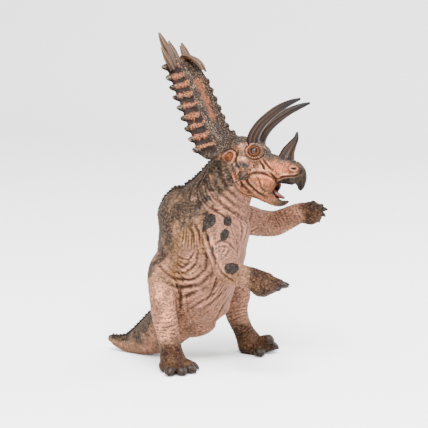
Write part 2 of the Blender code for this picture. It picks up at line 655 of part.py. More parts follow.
def finish_material(name, kind):
    """A plain painted finish with its own colour and gloss."""
    colour, roughness, metallic = FINISHES[kind]
    material = bpy.data.materials.new(name)
    material.use_nodes = True
    shader = material.node_tree.nodes["Principled BSDF"]
    shader.inputs["Base Color"].default_value = (*colour, 1)
    shader.inputs["Roughness"].default_value = roughness
    shader.inputs["Metallic"].default_value = metallic
    return material


def new_collection(name):
    collection = bpy.data.collections.new(name)
    bpy.context.scene.collection.children.link(collection)
    return collection


def flesh(bench):
    """Trunk, limbs, tail and head as overlapping tubes."""
    parts = [
        tube("trunk", TRUNK, bench, sides=40),
        tube("neck", NECK, bench, sides=36),
        tube("tail", TAIL, bench),
        tube("right_arm", RIGHT_ARM, bench, side=(0.2, -1, 0)),
        tube("left_arm", LEFT_ARM, bench, side=(-0.4, 1, 0)),
        tube("right_palm", RIGHT_PALM, bench, side=(0, -1, 0)),
        tube("left_palm", LEFT_PALM, bench),
        tube("right_leg", RIGHT_LEG, bench, side=(0, -1, 0)),
        tube("left_leg", LEFT_LEG, bench, side=(0, -1, 0)),
        tube("skull", SKULL, bench, from_head, sides=32),
        tube("beak", BEAK, bench, from_head, sides=24),
        tube("jaw", JAW, bench, from_head, sides=28),
        tube("left_cheek", CHEEK, bench, from_head),
        tube("right_cheek", mirrored(CHEEK), bench, from_head)]
    for side in (-1, 1):
        u, v, w = EYE
        ring, deep = EYE_RIM
        parts.append(ball("eye_rim", (u, side * (v - 1.6), w), (ring, deep, ring), bench, from_head))
    for name, fingers in (("right", RIGHT_FINGERS), ("left", LEFT_FINGERS)):
        for root, direction in fingers:
            heading = unit(direction)
            path = [tuple(np.array(root) + heading * reach) + (size,) * 3
                    for reach, size in FINGER_PATH]
            parts.append(tube(name + "_finger", path, bench, sides=14, steps=8))
    for name, (centre, heading, angles) in FEET.items():
        parts.append(ball(name + "_pad", (*centre, PAD_HEIGHT), FOOT_PAD, bench))
        for angle, lift in angles:
            turn = math.radians(heading + angle)
            ahead = np.array([math.cos(turn), math.sin(turn), 0])
            path = []
            for share, high, size in TOE_PATH:
                point = np.array([*centre, high + lift * share]) + ahead * share * TOE_LENGTH
                path.append(tuple(point) + (size,) * 3)
            parts.append(tube(name + "_toe", path, bench, sides=14, steps=8,
                              side=(-ahead[1], ahead[0], 0)))
    parts.append(frill_sheet(bench))
    return parts


def horns(bench):
    """The brow, nose and cheek horns as smooth tapering tubes."""
    for side, turn in (("left", list), ("right", mirrored)):
        tube("brow_" + side, turn(BROW_HORN), bench, from_head, sides=HORN_SIDES, steps=11,
             dome=PLAIN_DOME)
        tube("cheek_" + side, turn(CHEEK_HORN), bench, from_head, side=(1, 0, 0), sides=8,
             steps=5, dome=PLAIN_DOME)
    tube("nose", NOSE_HORN, bench, from_head, sides=HORN_SIDES, steps=8, dome=PLAIN_DOME)


def claws(bench):
    """A blunt hoof-like nail at the end of each toe and finger."""
    gap, high, length, radius = TOE_NAIL
    for centre, heading, angles in FEET.values():
        for angle, lift in angles:
            turn = math.radians(heading + angle)
            ahead = np.array([math.cos(turn), math.sin(turn), 0])
            root = np.array([*centre, high + lift]) + ahead * (TOE_LENGTH + gap)
            spike("claw", root, ahead + np.array([0, 0, -NAIL_DROOP]), length, radius, bench,
                  sides=7, flat=0.8, across=(-ahead[1], ahead[0], 0))
    reach, length, radius = FINGER_NAIL
    for fingers in (RIGHT_FINGERS, LEFT_FINGERS):
        for root, direction in fingers:
            heading = unit(direction)
            spike("claw", np.array(root) + heading * reach, heading, length, radius, bench)


def floor_slab(cutters):
    """A slab below the floor, which leaves flats under the soles and the tail."""
    deep, wide = 10.0, 300.0
    bm = bmesh.new()
    bmesh.ops.create_cube(bm, size=1)
    points = np.array([v.co[:] for v in bm.verts]) * (wide, wide, deep) - (0, 0, deep / 2)
    faces = [[v.index for v in f.verts] for f in bm.faces]
    bm.free()
    mesh_object("floor_slab", points, faces, cutters)


def saw_plates(cutters):
    """Every thin slab that parts the blended animal into its pieces."""
    for name, (centre, normal, long, wide, across) in SAW_CUTS.items():
        plate("saw_" + name, centre, normal, long, cutters, across, wide)
    for name, (start, end, wide) in HEAD_CUTS.items():
        head_plate("saw_" + name, start, end, wide, cutters)
    for name, (centre, normal, reach) in HORN_CUTS.items():
        plate("saw_" + name, from_head(centre), head_direction(normal), reach, cutters,
              across=HEAD_FORWARD)


def eye_centre(side):
    u, v, w = EYE
    return (u, side * v, w)


def eye_sockets(cutters):
    """Round sockets that clear the eyeballs by the gap."""
    hollow = EYE_RADIUS + CLEARANCE
    for side in (-1, 1):
        ball("socket", eye_centre(side), (hollow,) * 3, cutters, from_head)


def tongue_bed(cutters):
    """A trough in the jaw's floor that clears the tongue by the gap."""
    rows = [(u, v, w, a + CLEARANCE, b + CLEARANCE, c + CLEARANCE)
            for u, v, w, a, b, c in TONGUE]
    tube("tongue_bed", rows, cutters, from_head, sides=10, steps=5, dome=PLAIN_DOME)


def parted(thing, labels, model):
    """Split a cut mesh into its loose bodies and name each by the nearest label point.

    A label keeps only its largest body.
    """
    bm = bmesh.new()
    bm.from_mesh(thing.data)
    bm.faces.ensure_lookup_table()
    seen = set()
    bodies = []
    for face in bm.faces:
        if face.index in seen:
            continue
        stack, group = [face], []
        seen.add(face.index)
        while stack:
            here = stack.pop()
            group.append(here)
            for edge in here.edges:
                for other in edge.link_faces:
                    if other.index not in seen:
                        seen.add(other.index)
                        stack.append(other)
        bodies.append(group)
    chosen = {}
    for group in bodies:
        verts = sorted({v.index for f in group for v in f.verts})
        bm.verts.ensure_lookup_table()
        points = np.array([bm.verts[i].co[:] for i in verts]) / MM
        middle = (points.min(axis=0) + points.max(axis=0)) / 2
        name = min(labels, key=lambda n: np.linalg.norm(labels[n] - middle))
        volume = np.prod(np.ptp(points, axis=0))
        if name not in chosen or volume > chosen[name][0]:
            chosen[name] = (volume, verts, group)
    pieces = {}
    for name in labels:
        _, verts, group = chosen[name]
        order = {v: i for i, v in enumerate(verts)}
        mesh = bpy.data.meshes.new(name)
        mesh.from_pydata([bm.verts[i].co[:] for i in verts], [],
                         [[order[v.index] for v in f.verts] for f in group])
        piece = bpy.data.objects.new(name, mesh)
        model.objects.link(piece)
        pieces[name] = piece
    bm.free()
    bpy.data.objects.remove(thing, do_unlink=True)
    return pieces


def stood_on_origin(pieces):
    """Move every piece so that the middle of the whole footprint is the origin."""
    corners = np.array([v.co[:] for piece in pieces for v in piece.data.vertices])
    low, high = corners.min(axis=0), corners.max(axis=0)
    shift = Vector((-(low[0] + high[0]) / 2, -(low[1] + high[1]) / 2, -low[2]))
    for piece in pieces:
        piece.data.transform(Matrix.Translation(shift))
    return shift


def build():
    """Blend the skin, add its trim, saw it into pieces and stand it on the origin."""
    bench = new_collection("bench")
    model = new_collection("horned_dinosaur_toy")
    skin = blended("skin", flesh(bench), model)
    horns(bench)
    frill_trim(bench)
    claws(bench)
    dorsal_spikes(skin, bench)
    whole = combined("whole", skin, bench, model, "UNION")
    hollows = new_collection("hollows")
    eye_sockets(hollows)
    tube("mouth_cavity", MOUTH_CAVITY, hollows, from_head, sides=16, steps=10)
    tongue_bed(hollows)
    floor_slab(hollows)
    hollowed = combined("hollowed", whole, hollows, model, "DIFFERENCE")
    saws = new_collection("saws")
    saw_plates(saws)
    sawn = combined("sawn", hollowed, saws, model, "DIFFERENCE")
    labels = {name: np.array(spot, float) for name, (spot, _) in BODY_PIECES.items()}
    labels.update({name: from_head(spot) for name, (spot, _) in HEAD_PIECES.items()})
    pieces = parted(sawn, labels, model)
    pieces["tongue"] = tube("tongue", TONGUE, model, from_head, sides=10, steps=5,
                            dome=PLAIN_DOME)
    for side, number in (("left", 1), ("right", -1)):
        name = "eye_" + side
        pieces[name] = ball(name, eye_centre(number), (EYE_RADIUS,) * 3, model, from_head)
    kinds = {name: kind for name, (_, kind) in {**BODY_PIECES, **HEAD_PIECES}.items()}
    kinds.update({"tongue": "tongue", "eye_left": "eye", "eye_right": "eye"})
    for name, piece in pieces.items():
        piece.data.materials.clear()
        piece.data.materials.append(finish_material(name, kinds[name]))
        piece.data.shade_smooth()
        piece.data.set_sharp_from_angle(angle=math.radians(40))
    return stood_on_origin(list(pieces.values()))


for thing in list(bpy.data.objects):
    bpy.data.objects.remove(thing, do_unlink=True)
SHIFT = np.array(build()[:]) / MM
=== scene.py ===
import math

import bpy
import numpy as np
from mathutils import Matrix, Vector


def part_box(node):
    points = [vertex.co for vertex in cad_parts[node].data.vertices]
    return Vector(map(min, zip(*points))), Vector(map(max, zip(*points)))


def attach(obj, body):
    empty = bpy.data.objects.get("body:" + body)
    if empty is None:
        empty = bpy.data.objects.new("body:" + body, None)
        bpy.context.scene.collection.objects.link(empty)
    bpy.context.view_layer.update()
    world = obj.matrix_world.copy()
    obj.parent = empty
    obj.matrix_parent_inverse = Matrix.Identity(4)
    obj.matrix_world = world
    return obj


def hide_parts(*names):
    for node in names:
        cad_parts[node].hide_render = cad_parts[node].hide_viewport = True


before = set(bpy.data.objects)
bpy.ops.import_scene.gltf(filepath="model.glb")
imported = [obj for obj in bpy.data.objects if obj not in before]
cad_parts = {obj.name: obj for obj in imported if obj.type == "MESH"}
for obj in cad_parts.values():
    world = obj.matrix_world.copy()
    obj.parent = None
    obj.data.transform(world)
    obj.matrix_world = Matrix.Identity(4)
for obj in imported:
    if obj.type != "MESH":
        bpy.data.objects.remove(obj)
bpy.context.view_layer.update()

# The toy's own axes
# Shapes are given in millimetres, x forward, y to the animal's left and z up from the floor.
# The head has axes of its own, forward, left and up from the level of the eyes. The packed
# eye tells how far these axes stand from the middle of the footprint.
MM = 0.001
HEAD_CENTRE = np.array([31.3, 0.0, 134.2])
HEAD_PITCH = math.radians(-4.0)
HEAD_TIP = math.radians(12.0)
HEAD_FORWARD = np.array([math.cos(HEAD_PITCH), 0.0, math.sin(HEAD_PITCH)])
LEVEL_LEFT = np.array([0.0, 1.0, 0.0])
LEVEL_UP = np.cross(HEAD_FORWARD, LEVEL_LEFT)
HEAD_LEFT = math.cos(HEAD_TIP) * LEVEL_LEFT - math.sin(HEAD_TIP) * LEVEL_UP
HEAD_AXES = np.stack([HEAD_FORWARD, HEAD_LEFT, np.cross(HEAD_FORWARD, HEAD_LEFT)])


def from_head(points):
    """Head coordinates to the toy's axes: centre + forward * u + left * v + up * w."""
    return HEAD_CENTRE + np.asarray(points, float) @ HEAD_AXES


def to_head(points):
    """The toy's axes to head coordinates."""
    return (np.asarray(points, float) - HEAD_CENTRE) @ HEAD_AXES.T


EYE = np.array([-0.2, 10.4, 0.0])
eye_low, eye_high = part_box("eye_left")
STAND = (np.array(eye_low) + np.array(eye_high)) / (2 * MM) - from_head(EYE)

# Body skin
# Trunk, neck, tail, legs and arms are one moulding of soft vinyl, with folds, wrinkles and
# scales cut into the mould. Each limb is a round tube through a few stations, the tubes are
# melted into one skin, and the relief is raised along that skin's normals.
TRUNK = [
    (-13, 0, 24, 13, 15.5, 15.5),
    (-13.6, 0, 31, 20, 23.3, 21.5),
    (-13.5, 0, 41, 23.5, 25, 23.5),
    (-11.5, 0, 54, 25, 26.5, 24.7),
    (-9, 0, 66, 26, 29, 26.2),
    (-7.3, 0, 79, 26, 29.6, 26.5),
    (-5.5, 0, 90, 24.5, 30, 29.5),
    (-4, 0, 98.5, 21, 26, 26.5),
    (-2, 0, 104, 14, 17, 17.5)]
NECK = [
    (-9, 0, 90, 19, 21, 20),
    (-3, 0, 100, 19, 23.5, 18),
    (4, 0, 110, 17, 23, 15),
    (11, -1, 119, 14.2, 19.6, 14),
    (17, -0.5, 127, 12, 15.5, 13)]
TAIL = [
    (-20, 1, 33, 19, 16, 18),
    (-30, 2, 23, 15.5, 13, 16),
    (-40, 4, 14.5, 12, 12, 14),
    (-50, 6, 8.8, 9, 9.3, 9.6),
    (-58, 7.5, 6, 6.4, 6.5, 7),
    (-66, 8, 5.8, 4.2, 4.3, 4.6),
    (-73, 7.5, 8.2, 2, 2.2, 2.4)]
RIGHT_ARM = [
    (8, -14, 90, 10, 11, 12),
    (13, -21, 82, 9.5, 9.5, 10.5),
    (18, -28, 72, 7.5, 8, 8.5),
    (22, -31.5, 65, 7.2, 7, 7.6),
    (31, -31.5, 63, 6.4, 7, 6.8),
    (40, -30.5, 61.5, 5.6, 6.2, 5.8),
    (47, -30, 60, 5.4, 5.6, 5.6)]
RIGHT_PALM = [
    (38, -30, 60.5, 5.6, 6, 6.2),
    (43, -30, 58.4, 7.4, 8, 7.8),
    (48.5, -30, 58.5, 8, 5.6, 6),
    (54, -30, 58.9, 6.2, 3.4, 3.4)]
LEFT_ARM = [
    (8, 12, 92, 10, 12, 11),
    (15, 20, 89, 9, 10, 9.5),
    (23, 28, 86, 8, 8.5, 8.5),
    (31, 32, 85.6, 7, 8.4, 8),
    (39, 33.5, 89, 6, 7.4, 7.2),
    (46, 34.5, 92.2, 5.6, 6.6, 6.6),
    (52, 35, 93.4, 5.6, 6.2, 6.2)]
LEFT_PALM = [
    (48, 35, 92, 5, 6.4, 6),
    (53, 35.5, 93, 6.5, 8, 7),
    (57, 36, 93.6, 5.5, 7, 6.5)]
RIGHT_LEG = [
    (-21, -8, 62, 14, 15, 15),
    (-22, -18, 58, 12.5, 12, 13.5),
    (-21, -29, 53, 9.5, 9.5, 10),
    (-20, -34, 46, 8, 8, 7.8),
    (-19, -33.5, 36, 7.4, 7.8, 7.8),
    (-17, -32.5, 25, 6.8, 7, 7.2),
    (-15.5, -31.5, 14, 6.8, 7, 7),
    (-14, -31, 5, 8.6, 8.6, 8.6)]
LEFT_LEG = [
    (-14, 8, 60, 13, 15, 16),
    (-8, 17, 57, 12, 13, 15),
    (0, 25, 51, 10, 11, 12),
    (4.5, 28, 43, 9, 11.2, 9.5),
    (4.5, 29, 34, 8.4, 10.4, 8.4),
    (7, 30, 24, 7, 6.8, 7.6),
    (11, 31.5, 14, 6.6, 6, 7),
    (15, 32.5, 5, 8.6, 9, 8.6)]
FEET = {
    "right": ((-13.5, -31.0), -26, ((-55, 0), (-19, 0), (18, 0), (54, 0))),
    "left": ((17.5, 33.0), -4, ((-52, 0), (-18, 7.6), (17, 1.8), (50, 0)))}
TOE_LENGTH = 11.5
TOE_PATH = ((0.4, 4.6, 3.8), (0.75, 4.0, 3.5), (1.0, 3.0, 2.9))
FOOT_PAD = (9.6, 9.6, 5.4)
PAD_HEIGHT = 3.6
FINGERS = {
    "right": [
        ((50.5, -35, 57.6), (0.9, -0.45, 0.05)),
        ((52, -31.8, 58.6), (1, -0.1, 0.15)),
        ((52, -28, 58.4), (1, 0.15, 0.12)),
        ((50.5, -25, 57), (0.9, 0.45, 0))],
    "left": [
        ((54.2, 33.4, 94.9), (0.35, -0.3, 0.9)),
        ((56.1, 34.4, 94.7), (0.8, -0.1, 0.6)),
        ((56.6, 36.4, 94.8), (1, 0.1, 0.15)),
        ((55.8, 37.4, 94.2), (0.9, 0.2, -0.4)),
        ((54.9, 37, 93.2), (0.55, 0.2, -0.8))]}
FINGER_PATH = ((-2, 2.6), (2, 2.3), (4.5, 1.7))
SKIN_GRAIN = 0.5                # size of a facet of the blended skin
SKIN_ROUNDS = 7                 # passes that soften it


def unit(v):
    """Vectors scaled to length one along the last axis."""
    v = np.asarray(v, float)
    return v / np.maximum(np.linalg.norm(v, axis=-1, keepdims=True), 1e-9)


def through(rows, count):
    """Points on the smooth Catmull-Rom curve through the rows."""
    rows = np.asarray(rows, float)
    padded = np.vstack([2 * rows[0] - rows[1], rows, 2 * rows[-1] - rows[-2]])
    t = np.linspace(0, len(rows) - 1, count)
    i = np.minimum(t.astype(int), len(rows) - 2)
    f = (t - i)[:, None]
    a, b, c, d = (padded[i + k] for k in range(4))
    return 0.5 * (2 * b + (c - a) * f + (2 * a - 5 * b + 4 * c - d) * f**2
                  + (3 * b - a - 3 * c + d) * f**3)


def capped(rings, sides):
    """Four-sided faces between rings of points, and the fans that close both ends at poles."""
    row = np.arange(rings - 1)[:, None] * sides
    here = np.arange(sides)
    there = (here + 1) % sides
    quads = np.stack([row + here, row + there, row + sides + there, row + sides + here], -1)
    top, first = (rings - 1) * sides, rings * sides
    caps = np.vstack([np.stack([here * 0 + first, there, here], -1),
                      np.stack([here * 0 + first + 1, top + here, top + there], -1)])
    return quads.reshape(-1, 4), caps


def tube(stations, side=(0, 1, 0), sides=28, steps=36):
    """Round sections carried along a smooth path, closed by a dome at each end.

    A section is centre + side * width * cos + front * depth * sin, where front is square
    to side and path and the depth differs in front and behind. A dome shrinks the end
    section by the root of one less its step squared.
    """
    rows = through(stations, steps)
    centre, size = rows[:, :3], np.maximum(rows[:, 3:], 0.15)
    along = unit(np.gradient(centre, axis=0))
    side = np.asarray(side, float)
    across = unit(side - (along @ side)[:, None] * along)
    front = np.cross(across, along)
    turn = np.linspace(0, 2 * np.pi, sides, endpoint=False)
    depth = np.where(np.sin(turn) > 0, size[:, 1:2], size[:, 2:3])
    rings = (centre[:, None] + across[:, None] * (size[:, :1] * np.cos(turn))[..., None]
             + front[:, None] * (depth * np.sin(turn))[..., None])
    step = np.array((0.35, 0.65, 0.88))[:, None, None]
    ends, poles = [], []
    for index, sign in ((0, -1), (-1, 1)):
        out = along[index] * sign * size[index].min() * 0.7
        ends.append(centre[index] + (rings[index] - centre[index]) * np.sqrt(1 - step**2)
                    + out * step)
        poles.append(centre[index] + out)
    rings = np.concatenate([ends[0][::-1], rings, ends[1]])
    quads, caps = capped(len(rings), sides)
    return np.vstack([rings.reshape(-1, 3), poles]), quads.tolist() + caps.tolist()


def ball(centre, radii, sides=24, rings=12):
    """A sphere stretched to three radii: centre + radii * (cos a cos b, sin a cos b, sin b)."""
    tilt = np.linspace(-np.pi / 2, np.pi / 2, rings + 1)[1:-1, None]
    turn = np.linspace(0, 2 * np.pi, sides, endpoint=False)
    grid = np.stack([np.cos(turn) * np.cos(tilt), np.sin(turn) * np.cos(tilt),
                     np.sin(tilt) + 0 * turn], -1).reshape(-1, 3)
    quads, caps = capped(rings - 1, sides)
    points = np.vstack([grid, [[0, 0, -1], [0, 0, 1]]]) * radii + centre
    return points, quads.tolist() + caps.tolist()


def gathered(shapes):
    """The points of several shapes in one list, and their faces renumbered to match."""
    starts = np.cumsum([0] + [len(points) for points, _ in shapes[:-1]])
    faces = [[corner + start for corner in face]
             for (_, own), start in zip(shapes, starts.tolist()) for face in own]
    return np.vstack([points for points, _ in shapes]), faces


def piece(name, points, faces):
    """A smooth-shaded object from points in millimetres in the toy's axes."""
    mesh = bpy.data.meshes.new(name)
    mesh.from_pydata(((np.asarray(points) + STAND) * MM).tolist(), [], faces)
    mesh.shade_smooth()
    thing = bpy.data.objects.new(name, mesh)
    bpy.context.scene.collection.objects.link(thing)
    return thing


def melted(name, shapes, grain, rounds, hollows=()):
    """Overlapping closed shapes melted into one skin, with hollows cut out, and softened."""
    lump = piece(name, *gathered(shapes))
    cutter = piece(name + "_hollows", *gathered(hollows)) if hollows else None
    if hollows:
        whole = cutter.modifiers.new("whole", "REMESH")
        whole.mode = "VOXEL"
        whole.voxel_size = grain * MM
    for stage in range(2 if hollows else 1):
        if stage:
            cut = lump.modifiers.new("hollow", "BOOLEAN")
            cut.operation = "DIFFERENCE"
            cut.solver = "MANIFOLD"
            cut.object = cutter
        blend = lump.modifiers.new("blend", "REMESH")
        blend.mode = "VOXEL"
        blend.voxel_size = grain * MM
    soften = lump.modifiers.new("soften", "SMOOTH")
    soften.factor = 0.5
    soften.iterations = rounds
    graph = bpy.context.evaluated_depsgraph_get()
    mesh = bpy.data.meshes.new_from_object(lump.evaluated_get(graph))
    for spent in [lump] + ([cutter] if hollows else []):
        bpy.data.objects.remove(spent)
    mesh.name = name
    thing = bpy.data.objects.new(name, mesh)
    bpy.context.scene.collection.objects.link(thing)
    return thing


def surface_of(thing):
    """A piece's points in millimetres in the toy's axes, its normals and its edges."""
    mesh = thing.data
    points = np.empty(len(mesh.vertices) * 3)
    mesh.vertices.foreach_get("co", points)
    normals = np.empty(len(mesh.vertices) * 3)
    mesh.vertex_normals.foreach_get("vector", normals)
    edges = np.empty(len(mesh.edges) * 2, int)
    mesh.edges.foreach_get("vertices", edges)
    return points.reshape(-1, 3) / MM - STAND, normals.reshape(-1, 3), edges.reshape(-1, 2)


def eased(values, edges, rounds):
    """Each value drawn half way to the mean of its neighbours, several times over."""
    values = np.array(values, float).reshape(len(values), -1)
    first, second = edges.T
    count = len(values)
    near = np.bincount(first, minlength=count) + np.bincount(second, minlength=count)
    for _ in range(rounds):
        mean = np.stack([np.bincount(first, column[second], count)
                         + np.bincount(second, column[first], count)
                         for column in values.T], -1) / np.maximum(near, 1)[:, None]
        values = (values + mean) / 2
    return values


def lattice(corner, seed):
    """A number from 0 to 1 for each whole-number corner, the same one every time."""
    x, y, z = (corner[..., axis].astype(np.int64) for axis in range(3))
    mixed = (x * 73856093 ^ y * 19349663 ^ z * 83492791 ^ (seed + 1) * 39916801) & 0xffffffff
    mixed = (mixed ^ mixed >> 15) * 73244475 & 0xffffffff
    mixed = (mixed ^ mixed >> 13) * 73244475 & 0xffffffff
    return (mixed >> 8 & 0xffff) / 65535.0


def clouds(points, size, seed=0):
    """Smooth noise from 0 to 1: the lattice's numbers, eased between the eight corners."""
    scaled = np.asarray(points, float) / size
    floor = np.floor(scaled)
    f = scaled - floor
    f = f * f * (3 - 2 * f)
    total = 0.0
    for corner in np.ndindex(2, 2, 2):
        weight = np.prod(np.where(corner, f, 1 - f), axis=-1)
        total = total + weight * lattice(floor + corner, seed)
    return total


def pebbles(points, size, seed=0):
    """Distances in millimetres to the nearest and the next of points strewn one a cell."""
    scaled = np.asarray(points, float) / size
    floor = np.floor(scaled)
    near = np.full(len(scaled), 9.0)
    after = near.copy()
    for step in np.ndindex(3, 3, 3):
        cell = floor + step - 1
        jitter = np.stack([lattice(cell, seed + axis) for axis in (11, 12, 13)], -1)
        gap = np.linalg.norm(cell + jitter - scaled, axis=-1)
        after = np.minimum(after, np.maximum(near, gap))
        near = np.minimum(near, gap)
    return near * size, after * size


def fade(value, low, high):
    """A smooth step from 0 at low to 1 at high."""
    t = np.clip((value - low) / (high - low), 0, 1)
    return t * t * (3 - 2 * t)


def fold(points, normals, line, depth, width, lip=0.35):
    """Height of a crease with raised lips along a line: the depth times a bell curve.

    The distance to the line is taken square to the normal, so that the line may lie a
    little above or below the skin, and the crease fades out at both of its ends.
    """
    path = through(line, 8 * len(line)) if len(line) > 2 else np.asarray(line, float)
    height = np.zeros(len(points))
    reach = 4 * width + 2
    inside = np.all((points > path.min(axis=0) - reach) & (points < path.max(axis=0) + reach), axis=1)
    near, facing = points[inside], normals[inside]
    best = np.full(len(near), 99.0)
    share = np.zeros(len(near))
    for index, (start, end) in enumerate(zip(path[:-1], path[1:])):
        run = end - start
        t = np.clip((near - start) @ run / max(run @ run, 1e-9), 0, 1)
        away = near - start - t[:, None] * run
        off = np.einsum("ij,ij->i", away, facing)
        flat = np.sqrt(np.maximum(np.einsum("ij,ij->i", away, away) - 0.92 * off**2, 0))
        flat = np.where(np.abs(off) > 4, 99.0, flat)
        closer = flat < best
        best[closer] = flat[closer]
        share[closer] = (index + t[closer]) / (len(path) - 1)
    taper = np.sin(np.pi * np.clip(share, 0.02, 0.98))**0.6
    crease = np.exp(-(best / width)**2)
    lips = np.exp(-((best - 2 * width) / width)**2)
    height[inside] = depth * taper * (lip * lips - crease)
    return height


def between(first, last, count):
    """Lines spread evenly between two lines."""
    a, b = through(first, 9), through(last, 9)
    return [a + (b - a) * t for t in np.linspace(0, 1, count)]


def mirrored(line):
    """The same line on the animal's other side."""
    return np.asarray(line, float) * (1, -1, 1)


def nearest(points, stations):
    """Distance along a tube, distance from its middle line, and the radius there."""
    rows = through(stations, 90)
    centre = rows[:, :3]
    along = unit(np.gradient(centre, axis=0))
    length = np.concatenate([[0], np.cumsum(np.linalg.norm(np.diff(centre, axis=0), axis=1))])
    square = (np.sum(points**2, axis=1)[:, None] - 2 * points @ centre.T
              + np.sum(centre**2, axis=1))
    index = np.argmin(square, axis=1)
    away = points - centre[index]
    step = np.einsum("ij,ij->i", away, along[index])
    gap = np.sqrt(np.maximum(square[np.arange(len(points)), index] - step**2, 0))
    return length[index] + step, gap, rows[index, 3:].mean(axis=1)


flesh = [
    tube(TRUNK, sides=40), tube(NECK, sides=36), tube(TAIL),
    tube(RIGHT_ARM, (0.2, -1, 0)), tube(LEFT_ARM, (-0.4, 1, 0)),
    tube(RIGHT_PALM, (0, -1, 0)), tube(LEFT_PALM),
    tube(RIGHT_LEG, (0, -1, 0)), tube(LEFT_LEG, (0, -1, 0))]
for digits in FINGERS.values():
    for root, direction in digits:
        path = [(*(np.array(root) + unit(direction) * reach), size, size, size)
                for reach, size in FINGER_PATH]
        flesh.append(tube(path, sides=14, steps=8))
for centre, heading, toes in FEET.values():
    flesh.append(ball((*centre, PAD_HEIGHT), FOOT_PAD))
    for angle, lift in toes:
        turn = math.radians(heading + angle)
        ahead = np.array([math.cos(turn), math.sin(turn), 0])
        path = [(*(np.array([*centre, high + lift * share]) + ahead * share * TOE_LENGTH),
                 size, size, size) for share, high, size in TOE_PATH]
        flesh.append(tube(path, (-ahead[1], ahead[0], 0), sides=14, steps=8))
skin = melted("body_skin", flesh, SKIN_GRAIN, SKIN_ROUNDS)
P, N, edges = surface_of(skin)

# Relief of the body skin
# Every fold was pressed in one place on one side and repeated on the other. The belly hangs
# in bowed folds, the armpit and hip are deep, and narrow rings run round ankles and wrists.
FOLDS = {
    "belly_low": (1.3, 1.3, [(-17.5, -36.5, 57.5), (-13, -33.5, 54.5), (-11, -25.5, 52),
                             (-6, -24.5, 52.5), (-0.5, -23, 53.5), (3.5, -22, 56.5),
                             (7.5, -21, 62)]),
    "belly_mid": (0.9, 1.1, [(-18, -33, 61), (-13.5, -31, 58.5), (-9.5, -25, 57),
                             (-3.5, -24.5, 57.5), (1.5, -23.5, 61.5), (5, -23, 65.5)]),
    "belly_high": (0.7, 1.0, [(-15.5, -29, 62), (-11, -25.5, 61), (-6, -25.5, 62.5),
                              (-2.5, -25, 66), (-0.5, -25, 70.5), (0, -25, 75)]),
    "belly_top": (0.5, 0.9, [(-12, -26, 65), (-8, -26, 65.5), (-5, -26, 69), (-3, -25.5, 74)]),
    "groin": (1.0, 1.3, [(-15, -23.5, 43.5), (-7, -24, 47), (-1, -22.5, 50), (5.5, -19.5, 53)]),
    "flank": (0.8, 1.2, [(3, -25, 84), (5, -25, 76), (6, -24.5, 70), (4, -24, 63)]),
    "flank_front": (0.7, 1.1, [(9, -23.5, 76), (10.5, -22, 69), (9, -21.5, 61),
                               (6, -20.5, 52)]),
    "under_arm": (1.2, 1.5, [(13, -20, 66), (12, -19, 60), (9, -18.5, 53), (5, -18, 46)]),
    "armpit": (1.6, 1.4, [(4.5, -25, 90), (8, -29, 83.5), (11, -32, 77), (14.5, -35, 72.5),
                          (15.5, -36.5, 67.5)]),
    "arm_under": (0.7, 0.9, [(16, -36, 71.5), (20, -38, 66), (24.5, -38.5, 62.5),
                             (29.5, -37, 59.5)]),
    "arm_top": (0.8, 1.0, [(14, -31.5, 82), (17.5, -30, 83.5), (21.5, -28.5, 82),
                           (24.5, -26, 77)]),
    "chest_a": (0.7, 1.0, [(19.5, -19.5, 90.5), (21.5, -20, 85.5), (20.5, -10.5, 78.5)]),
    "chest_b": (0.6, 1.0, [(21, -1, 93), (23.5, -1, 88), (23.5, -3, 83), (21.5, -5.5, 75.5)]),
    "chest_c": (0.7, 1.1, [(20, -8, 98), (21, -7, 91.5), (22.5, -7.5, 85.5),
                           (21.5, -8.5, 80.5)]),
    "chest_d": (0.7, 1.2, [(22.5, -12.5, 80), (22, -9.5, 74), (19.5, -11, 67),
                           (17, -12, 60)]),
    "diag_a": (0.6, 1.1, [(13.5, -8, 50.5), (9.5, -12.5, 46), (5.5, -16, 41.5),
                          (-2.5, -19.5, 35.5)]),
    "diag_b": (0.6, 1.2, [(13.5, 0, 46), (11.5, -5, 40.5), (8, -8.5, 33.5), (1.5, -3.5, 25)]),
    "diag_c": (0.7, 1.1, [(9, -14.5, 49), (4, -18.5, 45), (-1.5, -21, 41.5), (-7.5, -22, 37)]),
    "neck_a": (1.2, 1.3, [(9, -11.5, 128.5), (12, -15, 119.5), (17, -13.5, 111),
                          (23, -7.5, 104.5)]),
    "neck_b": (1.1, 1.2, [(4.5, -12.5, 124), (8.5, -15.5, 116), (14.5, -14, 107.5),
                          (21.5, -8, 100.5)]),
    "neck_c": (0.9, 1.1, [(0, -13.5, 117.5), (5, -16.5, 111), (12, -15, 103.5),
                          (19, -8.5, 97), (23, 0.5, 90.5)]),
    "neck_d": (0.8, 1.1, [(-2, -15.5, 113), (1.5, -18, 106), (7.5, -17, 100),
                          (17, -18, 94.5), (21, -10.5, 88.5)]),
    "nape_a": (0.7, 0.9, [(1, -9, 125), (-2, -12, 120), (-4, -15, 113), (-3, -19, 106)]),
    "nape_b": (0.6, 0.9, [(-6, -9, 119), (-8, -13, 114), (-9, -17, 108), (-8, -21, 102)]),
    "shoulder_a": (0.8, 1.0, [(-6, -24.5, 90.5), (-3, -25, 85.5), (-2.5, -25.5, 80)]),
    "shoulder_b": (0.8, 1.0, [(-2.5, -23.5, 92), (0.5, -24.5, 86.5), (1.5, -24.5, 79.5)]),
    "hip_a": (0.8, 1.1, [(-27.5, -24.5, 66.5), (-21.5, -30, 64), (-16.5, -32.5, 60.5)]),
    "hip_front": (1.0, 1.2, [(-14.5, -31, 60), (-12, -29.5, 55), (-12, -24, 46),
                             (-12, -22.5, 37)]),
    "hip_back": (0.8, 1.2, [(-30, -22, 62), (-31, -25, 54), (-29, -28, 46), (-27, -30, 38)])}
